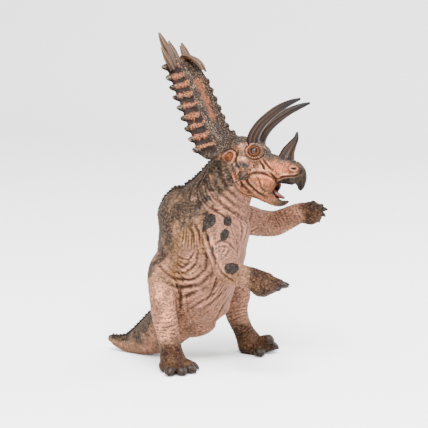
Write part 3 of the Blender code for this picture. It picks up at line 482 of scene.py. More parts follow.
# Ridged fans of small wrinkles: first line, last line, how many, depth and width.
FANS = [
    ([(-9, -25, 92), (-9, -26, 84), (-10, -26, 78)],
     [(4, -25, 88), (5, -27, 80), (7, -28, 73)], 9, 0.42, 0.6),
    ([(-14, -24, 60), (-7, -25, 54), (2, -23.5, 55)],
     [(-14, -25, 72), (-6, -26, 70), (-1, -25.5, 76)], 6, 0.3, 0.6),
    ([(11, -15, 58), (7, -17, 50), (2, -18, 42)],
     [(16, -4, 58), (14, -8, 47), (8, -12, 36)], 6, 0.28, 0.7),
    ([(2, -14, 122), (6, -17, 113), (12, -16, 105)],
     [(-6, -16, 112), (-3, -20, 104), (4, -22, 97)], 7, 0.4, 0.6),
    ([(14, -10, 118), (19, -8, 110), (24, -1, 103)],
     [(16, -14, 100), (21, -8, 94), (24, 0, 86)], 7, 0.35, 0.7),
    ([(10, -26, 86), (13, -31, 79), (15, -34.5, 72)],
     [(21, -26, 80), (21, -31, 76), (20, -35, 72)], 5, 0.3, 0.6)]
# Muscles and hanging skin: centre, three radii and height.
MUSCLES = [
    ((-10, -26, 76), (8, 6, 12), 1.1), ((-4, -25, 61), (9, 6, 6), 1.0),
    ((9, -26, 88), (7, 8, 7), 0.9), ((17, -12, 86), (6, 7, 11), 0.7),
    ((-3, -20, 96), (8, 8, 6), 0.7), ((-20, -33, 56), (6, 8, 7), 0.6),
    ((-16, -39, 47), (5, 5, 6), 0.7), ((9, -14, 122), (6, 6, 7), 0.5),
    ((20, -30, 74), (6, 6, 7), 0.6), ((-26, -20, 46), (8, 8, 12), 0.6)]
# Rings round a tube: stations, pitch, depth, and the stretch that they cover.
RINGS = [
    (RIGHT_LEG, 2.5, 0.42, (36, 60)), (LEFT_LEG, 2.5, 0.42, (38, 66)),
    (RIGHT_LEG, 2.1, 0.22, (8, 36)), (LEFT_LEG, 2.2, 0.22, (10, 38)),
    (RIGHT_ARM, 2.3, 0.28, (34, 58)), (LEFT_ARM, 2.3, 0.26, (22, 52)),
    (TAIL, 3.0, 0.32, (4, 66)), (RIGHT_ARM, 2.6, 0.2, (4, 30))]
# Patches of coarse raised scales: centre and three radii.
SCALE_PATCHES = [
    ((6.5, -24, 94), (4.2, 6, 5.2)), ((17.5, -19, 94), (2.2, 5, 3.6)),
    ((18, -27.5, 86.5), (2.2, 5, 3.4)), ((8, -29, 84.5), (1.3, 4, 2.4)),
    ((12.5, -32.5, 78), (1.4, 4, 2.6)), ((26.5, -37, 68.5), (4.8, 5, 3.8)),
    ((-1, -24, 101), (2.2, 5, 1.6)), ((4, -18, 107), (2.6, 5, 1.6))]
HIDE_CELL = 1.9                 # size of the mesh of fine creases
PEBBLE_CELL = 1.25              # size of the scales in the patches
SOLE = 0.05                     # no sole or nail reaches below this height


def blob(points, centre, radii):
    """1 at a centre, falling as a bell curve of the distance in radii."""
    return np.exp(-np.sum(((points - centre) / radii)**2, axis=1))


limbs = [TRUNK, NECK, TAIL, RIGHT_ARM, LEFT_ARM, RIGHT_LEG, LEFT_LEG]
places = [nearest(P, stations) for stations in limbs]
closeness = np.stack([gap / radius for _, gap, radius in places], -1)
home = np.argmin(closeness, axis=1)
wobble = clouds(P, 6.0, 3) - 0.5
ease = eased(clouds(P, 9.0, 4), edges, 2)[:, 0]

rise = np.zeros(len(P))
for centre, radii, height in MUSCLES:
    for side in (1, -1):
        rise += height * blob(P, np.array(centre) * (1, side, 1), radii)
for depth, width, line in FOLDS.values():
    rise += fold(P, N, line, depth, width)
    rise += fold(P, N, mirrored(line), 0.8 * depth, width)
for first, last, count, depth, width in FANS:
    for line in between(first, last, count):
        rise += fold(P, N, line, depth, width, lip=0.5)
        rise += fold(P, N, mirrored(line), 0.8 * depth, width, lip=0.5)
for stations, pitch, depth, (start, end) in RINGS:
    run, gap, radius = nearest(P, stations)
    inside = (gap < 1.5 * radius) * fade(run, start, start + 8) * (1 - fade(run, end - 3, end + 3))
    wave = np.abs(np.sin(np.pi * (run / pitch + 1.6 * wobble)))
    rise += depth * inside * (wave**0.6 - 0.75) * (0.45 + 0.9 * ease)

flat_cells = P * (0.75, 0.75, 1.35)
near, after = pebbles(flat_cells, HIDE_CELL, 1)
mesh_lines = np.exp(-((after - near) / 0.34)**2)
calm = np.clip(blob(P, (20, 0, 80), (10, 14, 20)) + blob(P, (8, 0, 40), (14, 16, 20)), 0, 1)
rise += (0.07 - 0.24 * mesh_lines) * (1 - 0.55 * calm)
near, after = pebbles(P, PEBBLE_CELL, 5)
scaly = np.zeros(len(P))
for centre, radii in SCALE_PATCHES:
    for side in (1, -1):
        ragged = blob(P, np.array(centre) * (1, side, 1), radii) - 0.36 + 0.3 * wobble
        scaly = np.maximum(scaly, fade(ragged, -0.04, 0.06))
scale_height = np.clip((after - near) / 0.5, 0, 1)
rise += scaly * (0.5 * scale_height - 0.1)
rise += 0.06 * (clouds(P, 1.1, 8) - 0.5)
uneven = (0.45 + clouds(P, 7.0, 19)) * np.where(home == 1, 0.42, 0.72)
rise = rise * uneven + 0.35 * (clouds(P, 1.6, 20) - 0.5) * (1 - 0.6 * calm)

# Paint of the body skin
# The vinyl is sprayed flesh pink, mottled dark along the back and brown at feet and hands.
# A dark wash then stays in the hollows, laid deeper than the toy's own wash as painted shade,
# and a dry brush leaves pale paint on the ridges that also serves as painted highlight. The
# relief is pressed in first, and the hollows and ridges are read from the finished skin.
P = P + N * rise[:, None]
P[:, 2] = np.maximum(P[:, 2], SOLE)
skin.data.vertices.foreach_set("co", ((P + STAND) * MM).ravel())
P, N, edges = surface_of(skin)
SKIN_FACETS = 194000
MOTTLE = [
    ((-34, 0, 96), (16, 34, 26), 1.2), ((-38, 0, 62), (12, 30, 30), 0.75),
    ((-8, 0, 118), (16, 30, 14), 1.1), ((-12, -22, 102), (14, 16, 11), 0.85),
    ((-2, -18, 110), (8, 12, 9), 0.75), ((-30, -20, 76), (10, 14, 16), 0.55),
    ((-25, -22, 100), (10, 16, 14), 0.6), ((-14, -26, 88), (8, 10, 6), 0.4),
    ((6, -14, 124), (8, 10, 7), 0.6), ((-30, -24, 60), (7, 10, 10), 0.6),
    ((4, -14, 128), (10, 10, 11), 1.0), ((12, -14, 118), (8, 8, 8), 0.8),
    ((-4, 0, 128), (10, 20, 8), 1.0),
    ((-32, 0, 40), (10, 8, 12), 0.8), ((-48, 5, 20), (14, 6, 8), 0.9),
    ((-62, 7, 12), (12, 5, 4), 0.8)]
OCHRE = [
    ((-15, -26, 77), (6, 9, 8), 1.0), ((-12, -27, 68), (5, 8, 6), 0.95),
    ((-4, -25, 86), (8, 8, 6), 0.85), ((-13, -30, 61), (6, 7, 5), 0.9),
    ((3, -26, 82), (6, 8, 6), 0.5), ((2, -20, 124), (5, 7, 5), 0.6),
    ((-16, -20, 108), (7, 8, 4), 0.6), ((25, -36, 62), (5, 6, 4), 0.6),
    ((0, -24, 97), (7, 8, 5), 0.4), ((-60, 6, 5), (14, 8, 6), 0.5),
    ((-34, -10, 22), (10, 8, 8), 0.6)]
ROSE = [
    ((22, -8, 86), (12, 16, 16), 1.0), ((18, -30, 76), (9, 8, 10), 0.8),
    ((10, 0, 45), (16, 22, 22), 0.6), ((20, -10, 104), (10, 14, 12), 0.7),
    ((4, 26, 44), (12, 10, 14), 0.7), ((-2, -25, 70), (8, 7, 14), 0.45)]
CREAM = [
    ((-17, -38, 47), (6, 8, 8), 1.0), ((-16, -37, 33), (6, 8, 10), 0.8),
    ((-16, -36, 24), (6, 8, 8), 0.5), ((10, -31, 80), (4, 5, 5), 0.4),
    ((-22, -30, 60), (6, 6, 8), 0.3)]
# Painted shade: thin dark brown strips laid along the deep neck folds and the armpit crease, on both sides.
NECK_FOLD_SHADE = [
    ((-1, -20, 104), (5, 6, 3), 0.9), ((6, -17, 112), (3, 6, 2.2), 0.8),
    ((0, -16, 117), (3, 6, 2.6), 0.8), ((8, -19, 103), (3.6, 6, 1.8), 0.6),
    ((13, -16, 97), (4, 5, 1.8), 0.5), ((-5, -22, 108), (4, 6, 2.4), 0.7),
    ((3, -22, 98), (2.5, 5, 1.4), 0.6), ((4, -25, 89), (1.6, 5, 2.2), 0.6)]


def sprayed(points, spots, seed, sides=(1, -1), coarse=5.0, fine=1.8, torn=1.7):
    """The strongest of the spots at each point, with edges torn by coarse and fine clouds."""
    ragged = 0.6 * clouds(points, coarse, seed) + 0.4 * clouds(points, fine, seed + 1) - 0.5
    total = np.zeros(len(points))
    for centre, radii, strength in spots:
        for side in sides:
            there = np.array(centre) * (1, side, 1)
            total = np.maximum(total, strength * blob(points, there, radii))
    return total + torn * ragged * np.clip(total * 3, 0, 1)


def masked(thing, name, *columns):
    """Up to four masks written on a piece's points as one colour attribute."""
    values = np.tile((0.0, 0.0, 0.0, 1.0), (len(columns[0]), 1))
    values[:, :len(columns)] = np.stack(columns, -1)
    layer = thing.data.color_attributes.new(name, "FLOAT_COLOR", "POINT")
    layer.data.foreach_set("color", np.clip(values, 0, 1).ravel())


def hollows_and_ridges(rise, edges, fine, coarse):
    """How deep each point lies in a hollow, and how far it stands on a ridge, of the relief."""
    small = (rise - eased(rise, edges, 6)[:, 0]) / fine
    broad = (rise - eased(rise, edges, 60)[:, 0]) / coarse
    return (np.clip(-small, 0, 1) * 0.6 + np.clip(-broad, 0, 1) * 0.6,
            np.clip(small, 0, 1) * 0.6 + np.clip(broad, 0, 1) * 0.4)


# The hollows take the dark wash and painted shade, the ridges the pale dry brush and painted highlight.
wash_and_shade, brush_and_highlight = hollows_and_ridges(rise, edges, 0.12, 0.5)
leg = np.isin(home, (5, 6))
height = P[:, 2] + 7 * wobble
brown = (1 - fade(height, 10, 26)) * leg
for stations, start, end in ((RIGHT_ARM, 40, 56), (LEFT_ARM, 47, 58)):
    run, gap, radius = nearest(P, stations)
    brown = np.maximum(brown, fade(run + 6 * wobble, start, end) * (gap < 4 * radius)
                       * (P[:, 0] > 30))
back = fade(-N[:, 0] * 0.75 + N[:, 2] * 0.5, 0.15, 0.75) * np.isin(home, (0, 1, 2))
mottle = sprayed(P, MOTTLE, 21) + 0.35 * back
masked(skin, "relief", wash_and_shade, brush_and_highlight, scaly)
masked(skin, "spray", mottle, sprayed(P, OCHRE, 23), sprayed(P, ROSE, 25), sprayed(P, CREAM, 27))
# The second channel of the brown masks holds the painted shade of the neck folds and armpit.
masked(skin, "brown", brown, sprayed(P, NECK_FOLD_SHADE, 29))


class Wire:
    """A shader socket that takes part in sums: each operator adds one Math node."""

    def __init__(self, tree, socket=None):
        self.tree, self.socket = tree, socket

    def make(self, kind, settings=None, inputs=None, output=0):
        """A node of a kind: first its settings, then the values or wires of its sockets."""
        node = self.tree.nodes.new(kind)
        for key, value in (settings or {}).items():
            setattr(node, key, value)
        for key, value in (inputs or {}).items():
            if isinstance(value, Wire):
                self.tree.links.new(value.socket, node.inputs[key])
            else:
                node.inputs[key].default_value = value
        return Wire(self.tree, node.outputs[output])

    def sum(self, operation, first, second):
        """One Math node."""
        return self.make("ShaderNodeMath", {"operation": operation}, {0: first, 1: second})

    def __add__(self, other):
        return self.sum("ADD", self, other)

    __radd__ = __add__

    def __mul__(self, other):
        return self.sum("MULTIPLY", self, other)

    __rmul__ = __mul__

    def __sub__(self, other):
        return self.sum("SUBTRACT", self, other)

    def __rsub__(self, other):
        return self.sum("SUBTRACT", other, self)

    def vector(self, operation, *values):
        """One Vector Math node, with a bare number standing for three alike."""
        values = [value if isinstance(value, Wire) else (value,) * 3 for value in values]
        return self.make("ShaderNodeVectorMath", {"operation": operation}, dict(enumerate(values)))

    def step(self, low, high):
        """0 below low, 1 above high and a smooth step between them."""
        return self.make("ShaderNodeMapRange", {"interpolation_type": "SMOOTHSTEP"},
                         {"Value": self, "From Min": low, "From Max": high})

    def mix(self, share, first, second):
        """The first colour with the second laid over it by a share."""
        return self.make("ShaderNodeMix", {"data_type": "RGBA"}, {0: share, 6: first, 7: second}, 2)

    def over(self, colour, share):
        """This colour with another laid over it by a share."""
        return self.mix(share, self, colour)

    def masks(self, name):
        """The four masks of a colour attribute."""
        node = self.make("ShaderNodeAttribute", {"attribute_name": name})
        split = self.make("ShaderNodeSeparateColor", inputs={0: node})
        channels = split.socket.node.outputs
        alpha = node.socket.node.outputs["Alpha"]
        return [Wire(self.tree, socket) for socket in (*channels, alpha)]

    def noise(self, size, detail=3.0, vector=None):
        """Cloudy noise from 0 to 1 whose lumps are about a size in millimetres."""
        return self.make("ShaderNodeTexNoise", inputs={
            "Vector": vector or self.place(), "Scale": 1 / (size * MM), "Detail": detail})

    def cells(self, size, feature="F1"):
        """Distance within, or to the edge of, cells of a size in millimetres."""
        return self.make("ShaderNodeTexVoronoi", {"feature": feature}, {
            "Vector": self.place(), "Scale": 1 / (size * MM)})

    def place(self):
        """The object coordinates."""
        return self.make("ShaderNodeTexCoord", output=3)


STUDIO_LEVEL = 4.6              # light that leaves a white surface that faces the lamps
VARNISH_LIGHT = 0.03            # white light that the varnish sends back by itself
SCREEN_MIDDLE = 0.219           # light that shows as half of full white
SCREEN_BEND = 1.23
LIGHTEST_SHARE = 0.93
PAINT_RANGE = (0.003, 0.9)      # the darkest and lightest that a paint can be


def tint(red, green, blue):
    """A paint as it looks on the screen in the studio light, from 0 to 255."""
    return (red / 255, green / 255, blue / 255, 1.0)


def finish_for(name, roughness, specular):
    """A new material, the wire that makes its nodes, and its shader."""
    material = bpy.data.materials.new(name)
    material.use_nodes = True
    shader = material.node_tree.nodes["Principled BSDF"]
    shader.inputs["Roughness"].default_value = roughness
    shader.inputs["Specular IOR Level"].default_value = specular
    return material, Wire(material.node_tree), shader


def coloured(wire, shader, colour, height=None, depth=0.15, strength=0.6):
    """The colour and the fine relief led to the shader, with the depth in millimetres.

    Paints are mixed as they look on the screen, whose answer to light is close to
    share / (1 - share) = (light / middle)^(1 / bend), and are turned to light only here. The
    varnish's own light is taken off, so that dark paints stay dark.
    """
    share = wire.vector("MINIMUM", colour, LIGHTEST_SHARE)
    ratio = wire.vector("DIVIDE", share, wire.vector("SUBTRACT", 1.0, share))
    light = wire.make("ShaderNodeGamma", inputs={"Color": ratio, "Gamma": SCREEN_BEND})
    paint = wire.vector("MULTIPLY_ADD", light, SCREEN_MIDDLE / STUDIO_LEVEL,
                        -VARNISH_LIGHT / STUDIO_LEVEL)
    low, high = PAINT_RANGE
    paint = wire.vector("MAXIMUM", wire.vector("MINIMUM", paint, high), low)
    wire.tree.links.new(paint.socket, shader.inputs["Base Color"])
    if height is not None:
        bump = wire.make("ShaderNodeBump", inputs={
            "Strength": strength, "Distance": depth * MM, "Height": height})
        wire.tree.links.new(bump.socket, shader.inputs["Normal"])


material, wire, shader = finish_for("painted_hide", 0.6, 0.08)
wash_and_shade_mask, brush_and_highlight_mask, scaly_mask, _ = wire.masks("relief")
mottle_mask, ochre_mask, rose_mask, cream_mask = wire.masks("spray")
brown_mask, dark_paint_and_fold_shade_mask, _, _ = wire.masks("brown")
lumps = wire.noise(7.0)
fine = wire.noise(1.3, 5.0)
grains = wire.cells(0.75)
cracks = wire.cells(1.1, "DISTANCE_TO_EDGE")
base = wire.mix(lumps.step(0.3, 0.7), tint(172, 138, 114), tint(206, 170, 146))
base = base.over(tint(208, 174, 160), rose_mask * 0.7)
base = base.over(tint(240, 212, 186), cream_mask * 0.9)
base = base.over(tint(152, 116, 66), ochre_mask * (fine * 0.9 + 0.3))
mottled = wire.mix(fine.step(0.36, 0.62), tint(54, 46, 40), tint(132, 110, 92))
base = base.over(mottled, (mottle_mask * 1.2 + (fine + lumps) * 0.55 - 0.62).step(0.0, 0.7) * 0.95)
# Painted shade in the neck folds and the armpit crease.
base = base.over(tint(58, 44, 36), dark_paint_and_fold_shade_mask.step(0.3, 0.7) * 0.9)
browned = wire.mix((fine + lumps).step(0.8, 1.15), tint(66, 43, 29), tint(128, 95, 70))
base = base.over(browned, (brown_mask + fine * 0.3 - 0.15).step(0.05, 0.85) * 0.95)
patchy = scaly_mask * 1.3 + wire.noise(2.4, 4.0) * 2.2 - 1.25
base = base.over(tint(56, 54, 53), patchy.step(0.3, 0.6) * scaly_mask.step(0.05, 0.3) * 0.95)
# Painted shade: dark brown laid into the hollows of the relief, over and beyond the toy's own wash.
base = base.over(tint(74, 46, 32), wash_and_shade_mask * 0.6)
# Painted highlight: pale paint on the ridges of the relief, together with the toy's own dry brush.
ridged = base.over(tint(246, 222, 196), 0.5)
base = base.over(ridged, brush_and_highlight_mask * (0.85 + fine * 0.3))
base = base.over(tint(84, 58, 44), (1 - cracks.step(0.0, 0.16)) * 0.2)
coloured(wire, shader, base, fine * 0.4 - grains * 1.0, 0.16, 0.75)
skin.data.materials.clear()
skin.data.materials.append(material)
thin = skin.modifiers.new("thin", "DECIMATE")
thin.ratio = SKIN_FACETS / (2 * len(skin.data.polygons))
skin.data.shade_smooth()
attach(skin, "root")
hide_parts("torso", "neck", "tail", *(
    f"{part}_{side}" for part in ("upper_arm", "forearm", "hand", "thigh", "shin", "foot")
    for side in ("right", "left")))

# Head and frill skin
# Head and frill are one moulding, pushed onto the neck behind the jaw. Skull, cheeks, beaks and
# jaw are tubes in the head's axes, and the frill is a curved sheet with blunt plates along its
# edges. Mouth and eyes are hollowed out, and lids, lips, nostrils and folds are raised.
SKULL = [
    (-21, 0, -3, 9, 9, 9),
    (-14, 0, -3, 12.5, 12, 12),
    (-6, 0, -4.5, 12.2, 12.6, 12.6),
    (0, 0, -6.5, 10.6, 12.2, 11.6),
    (5, 0, -8, 8.6, 10.2, 9.4),
    (10, 0, -8.4, 7.2, 9.2, 8.4),
    (16, 0, -8.6, 6.4, 9.0, 7.8),
    (21, 0, -9.2, 5.6, 8.6, 7.4),
    (25, 0, -10.8, 4.2, 7.2, 6.2)]
BEAK = [
    (20, 0, -9.5, 5.0, 8.2, 7.6),
    (24.6, 0, -10.5, 4.2, 7.2, 7.2),
    (27.4, 0, -13.2, 3.0, 4.6, 5.0),
    (28.7, 0, -17, 1.8, 2.4, 2.8),
    (28.3, 0, -20.2, 0.9, 1.0, 1.1),
    (27.7, 0, -21.6, 0.4, 0.4, 0.5)]
JAW = [
    (-12, 0, -15, 11.5, 7, 6),
    (-4, 0, -18.5, 11.5, 9.5, 7),
    (3, 0, -21.5, 9.6, 7.2, 6.8),
    (9, 0, -25.2, 7.2, 5.2, 5),
    (14, 0, -28.3, 5, 3.2, 3),
    (18.5, 0, -28.9, 3.3, 2.1, 1.7),
    (21.5, 0, -27.7, 1.7, 1.2, 1.1),
    (23.2, 0, -26.3, 0.5, 0.5, 0.5)]
CHEEK = [
    (-10, 10, -7, 4, 5, 6),
    (-4, 10.8, -12, 4.2, 7, 7),
    (3, 8.6, -16, 3.6, 8, 6.5),
    (9.4, 6.3, -19, 2.6, 7, 5.5),
    (13, 5.3, -20.8, 1.5, 4.4, 3.6)]
MOUTH = [
    (5, 0, -19.5, 3.5, 1.6, 1.6),
    (10, 0, -20.4, 4.4, 2.6, 2.8),
    (15, 0, -21.4, 4.4, 3.6, 4.4),
    (21, 0, -22.2, 8, 4.6, 5),
    (28, 0, -24, 9, 4, 4)]
EYE_RIM = (4.9, 3.4)            # radius of the raised ring of lids and how deep it is
EYE_OPENING = (2.3, 3.2, 1.6)   # radii of the opening: along, into and up the head
EYE_SUNK = 1.6                  # the ring's middle lies this far inside the eye's
EYE_PROUD = 1.2                 # and the opening's this far outside it
NOSTRIL = np.array([24.2, 4.6, -7.6])
NOSTRIL_PIT = (1.5, 1.6, 0.7)
HEAD_GRAIN = 0.38
HEAD_ROUNDS = 4
HEAD_FACETS = 196000
FRILL_ROOT = np.array([-14.6, 0.0, 9.4])
FRILL_AXES = np.array([(-0.601, 0.0, 0.799), (0.0, 1.0, 0.0), (0.799, 0.0, 0.601)])
FRILL_LENGTH = 62.0
FRILL_HALF_WIDTH = 28.0         # at its root; it narrows towards its end
FRILL_NARROWING = 6.5
FRILL_SWEEP = 17.3              # how far the edges lie behind the midline at the root
FRILL_SWEEP_LOSS = 6.5
FRILL_HALF_THICKNESS = 1.5
FRILL_SAG = 3.6                 # the midline dips behind the bosses above the brow
FRILL_BEND = 7.0                # how far its end bends back
FRILL_SET_BACK = 3.6
FRILL_FOOT = (4.5, 7.4)         # reach below the root at the midline, and more at mid half
FRILL_CREST = (58.5, 3.0, 6.0)  # its end: at the notch, rise beside it, fall at the corners
SCALLOP_START = -2.0            # distance along of the first blunt plate
SCALLOP_PITCH = 7.0
SCALLOPS = 9
SCALLOP_SHAPE = (1.2, 3.3, 1.6, -1.2)   # inset, reach, lean along and lean behind
KNOB_START = 3.0
KNOB_PITCH = 6.2
KNOBS = 7
KNOB_RADII = (2.1, 1.9, 2.0)
KNOB_RISE = 0.4
# Folds on the head's right side, in head axes; the left side repeats them.
HEAD_FOLDS = [
    (1.1, 1.0, [(-1, 14, -15), (4, 12, -13), (9.5, 8.5, -13), (13, 6, -15), (14, 4, -17)]),
    (0.8, 0.9, [(-1, 14, -15), (-1.5, 12.5, -18.5), (1.5, 10.5, -22), (5.5, 8, -25),
                (10, 6.5, -26.5)]),
    (1.2, 1.0, [(-14, 11.5, -7.5), (-14, 11, -13), (-12, 10, -19.5), (-8, 7.5, -24.5),
                (-3.5, 5, -27), (3.5, 4.5, -28)]),
    (0.8, 0.7, [(14, 5.5, -15.5), (15.5, 5.2, -15), (19.5, 5.2, -13), (25, 4.4, -12),
                (27.5, 3, -10.5), (28.6, 0.5, -9.4)]),
    (0.5, 0.6, [(4.5, 8.5, -3.5), (8.5, 7.5, -7.5), (11.5, 7, -10)]),
    (0.5, 0.6, [(3.5, 9, -5), (6, 8.5, -8.5), (8, 8, -12)]),
    (0.7, 0.8, [(-9.5, 12.5, 0), (-10, 13, -5), (-9, 13.5, -9.5), (-5.5, 14, -12)]),
    (0.6, 0.8, [(-6, 14.5, -13), (-7, 13.5, -17), (-5, 11, -21), (-1, 9, -24.5)]),
    (0.5, 0.7, [(2, 10.5, -14.5), (5, 9.5, -17), (6.5, 8, -21), (10, 6.5, -23.5)]),
    (0.6, 0.8, [(-7, 8, 5.5), (-1, 10, 6.5), (2, 6, 5.5), (5, 6, 0.5)])]
HEAD_LUMPS = [
    ((-14.5, 12.0, -5.5), (3.6, 4, 4.2), 0.9), ((-5.5, 13, -6.5), (3, 3, 2.6), 0.6),
    ((5, 8.8, -17.5), (5, 3, 4.5), 0.7), ((23.5, 4.6, -7.4), (3.4, 2, 2.8), 0.9),
    ((-1.5, 9, 4.6), (4, 3, 1.6), 0.8), ((12, 6.8, -6.5), (3, 2, 2), 0.4),
    ((-9, 11, 3), (3, 3, 2.6), 0.6), ((17, 6, -9.5), (3.4, 2, 2.4), 0.35)]


def sides_alike(points):
    """Head coordinates with the right side folded onto the left."""
    return points * np.where(points[:, 1:2] < 0, (1, -1, 1), (1, 1, 1))


def placed(place, shape):
    """A shape with its points moved by a function."""
    return place(shape[0]), shape[1]


def from_frill(points):
    """Points given as along, across and lift of the frill, in the toy's axes."""
    return from_head(FRILL_ROOT + np.asarray(points, float) @ FRILL_AXES)


def frill_half(along):
    """Half the frill's width at a distance from its root."""
    return FRILL_HALF_WIDTH - FRILL_NARROWING * along / FRILL_LENGTH


def frill_depth(along, share):
    """Lift of the frill's middle surface, for a share of its half width.

    The halves fall away behind the midline, which dips behind the brow, and the end bends.
    """
    sweep = FRILL_SWEEP - FRILL_SWEEP_LOSS * (along / FRILL_LENGTH)
    dip = np.clip(along / 7, 0, 1) * np.clip(1 - along / 47, 0, 1)
    bend = np.clip((along - 40) / 24, 0, 2)**2
    return (-FRILL_SET_BACK - sweep * share**1.08
            - (FRILL_SAG * dip + FRILL_BEND * bend) * np.clip(1 - share, 0, 1)**1.5)


def frill_sheet(columns=121, lines=100):
    """A grid from edge to edge and root to end, once in front and once behind.

    The half thickness is rounded off towards the rim by the root of one less a square.
    """
    side = np.linspace(-1, 1, columns)
    share = np.abs(side)
    foot, more = FRILL_FOOT
    notch, crest, fall = FRILL_CREST
    start = -foot - more * np.sin(np.pi * share)
    end = (notch + crest * np.clip(share / 0.35, 0, 1)**1.5
           - fall * np.clip((share - 0.78) / 0.22, 0, 1)**2)
    run = np.linspace(0, 1, lines)[:, None]
    along = start + (end - start) * run
    across = side * frill_half(along)
    rim = np.clip(np.minimum(np.minimum(run, 1 - run) * 30, (1 - share) * 14), 0, 1)
    thick = FRILL_HALF_THICKNESS * (0.4 + 0.6 * np.sqrt(1 - (1 - rim)**2))
    bar = 1.3 * np.exp(-(across / 2.6)**2) * rim
    depth = frill_depth(along, share)
    points = from_frill(np.concatenate([
        np.stack([along, across, depth + thick + bar], -1).reshape(-1, 3),
        np.stack([along, across, depth - thick], -1).reshape(-1, 3)]))
    cell = (np.arange(lines - 1)[:, None] * columns + np.arange(columns - 1)).ravel()
    front = np.stack([cell, cell + 1, cell + columns + 1, cell + columns], -1)
    edge = np.concatenate([
        np.arange(columns), np.arange(1, lines) * columns + columns - 1,
        (lines - 1) * columns + np.arange(columns - 2, -1, -1),
        np.arange(lines - 2, 0, -1) * columns])
    after = np.roll(edge, -1)
    count = columns * lines
    wall = np.stack([after, edge, edge + count, after + count], -1)
    return points, np.vstack([front, front[:, ::-1] + count, wall]).tolist()


bones = [placed(from_head, shape) for shape in (
    tube(SKULL, sides=32), tube(BEAK, sides=24), tube(JAW), tube(CHEEK),
    tube([(u, -v, *rest) for u, v, *rest in CHEEK]))]
openings = [placed(from_head, tube(MOUTH, sides=20, steps=24))]
for side in (1, -1):
    u, v, w = EYE * (1, side, 1)
    ring, deep = EYE_RIM
    bones.append(placed(from_head, ball((u, v - side * EYE_SUNK, w), (ring, deep, ring))))
    openings.append(placed(from_head, ball((u, v + side * EYE_PROUD, w), EYE_OPENING)))
    openings.append(placed(from_head, ball(NOSTRIL * (1, side, 1), NOSTRIL_PIT)))
bones.append(frill_sheet())
for side in (1, -1):
    for k in range(SCALLOPS):
        along = SCALLOP_START + SCALLOP_PITCH * k
        half, lift = frill_half(along), frill_depth(along, 1.0)
        inset, reach, lean, drop = SCALLOP_SHAPE
        rows = [(along - lean * 0.2, side * (half - 2 * inset), lift + 0.6, 2.9, 1.5, 1.5),
                (along + lean * 0.4, side * (half + 0.4 * reach), lift + 0.3 * drop, 2.4, 1.2, 1.2),
                (along + lean, side * (half + reach), lift + drop, 0.7, 0.5, 0.5)]
        bones.append(placed(from_frill, tube(rows, side=(1, 0, 0), sides=14, steps=8)))
for k in range(KNOBS):
    along = KNOB_START + KNOB_PITCH * k
    lift = frill_depth(along, 0.0) + FRILL_HALF_THICKNESS + KNOB_RISE
    bones.append(placed(from_frill, ball((along, 0, lift), KNOB_RADII)))
head = melted("head_skin", bones, HEAD_GRAIN, HEAD_ROUNDS, openings)
P, N, edges = surface_of(head)
own = to_head(P)
H = sides_alike(own)
F = (N @ HEAD_AXES.T) * np.where(own[:, 1:2] < 0, (1, -1, 1), (1, 1, 1))
rise = np.zeros(len(H))
for centre, radii, height in HEAD_LUMPS:
    rise += height * blob(H, centre, radii)
for depth, width, line in HEAD_FOLDS:
    rise += fold(H, F, line, depth, width)
EYE_STRETCH = (1, 0.35, 1.15)   # the lids' rings reach further into the head than along it
from_eye = (H - EYE) * EYE_STRETCH
ring = np.linalg.norm(from_eye, axis=1)
turn = np.arctan2(from_eye[:, 2], from_eye[:, 0])
near_eye = H[:, 1] > 7
rise += near_eye * (0.75 * np.exp(-((ring - 2.7) / 0.55)**2) - 0.45 * np.exp(-((ring - 3.75) / 0.4)**2)
                    + 0.5 * np.exp(-((ring - 4.7) / 0.55)**2) * (0.55 + 0.45 * np.cos(22 * turn))
                    - 0.4 * np.exp(-((ring - 5.8) / 0.5)**2))
from_nose = np.linalg.norm((H - NOSTRIL) * (1, 0.6, 1.7), axis=1)
rise += 0.55 * np.exp(-((from_nose - 2.3) / 0.6)**2)
from_ear = np.linalg.norm((H - (-14.5, 12.5, -5.5)) * (1, 0.4, 0.9), axis=1)
rise += 0.5 * np.exp(-((from_ear - 3.4) / 0.5)**2) - 0.4 * np.exp(-((from_ear - 4.6) / 0.5)**2)
near, after = pebbles(H, 1.5, 31)
knobs = fade(H[:, 2] - np.interp(H[:, 0], (-20, -6, 2, 10, 18, 25), (2, 3, 3, -2, -2.6, -4)), -1.5, 1.5)
rise += knobs * (0.42 * np.clip((after - near) / 0.7, 0, 1) - 0.1)
near, after = pebbles(H * (1, 1, 1.15), 1.15, 35)
rise += (1 - knobs) * (0.05 - 0.15 * np.exp(-((after - near) / 0.22)**2))
wave = np.abs(np.sin(np.pi * (np.linalg.norm(H - (-16, 12, -6), axis=1) / 1.7 + clouds(H, 4.0, 36))))
gathers = blob(H, (-8, 12, -18), (6, 6, 6)) + 0.7 * blob(H, (9, 6, -22), (4, 4, 4))
rise += 0.28 * (wave**0.6 - 0.75) * np.clip(gathers, 0, 1)
_, gap, radius = nearest(own, MOUTH)
in_mouth = (gap < 1.16 * radius) & (own[:, 0] < 27) & (own[:, 0] > 4)
rise = np.where(in_mouth, 0.1 * (clouds(H, 1.2, 38) - 0.5), rise)


def on_frill(points):
    """Along, share of the half width, lift over the middle surface, and how far it is frill."""
    along, across, lift = ((to_head(points) - FRILL_ROOT) @ FRILL_AXES.T).T
    share = np.abs(across) / frill_half(along)
    over = lift - frill_depth(along, np.clip(share, 0, 1.1))
    start = -18.0 + 15 * (1 - np.clip(share, 0, 1))
    return along, share, over, fade(along, start, start + 7) * (np.abs(over) < 5.5)


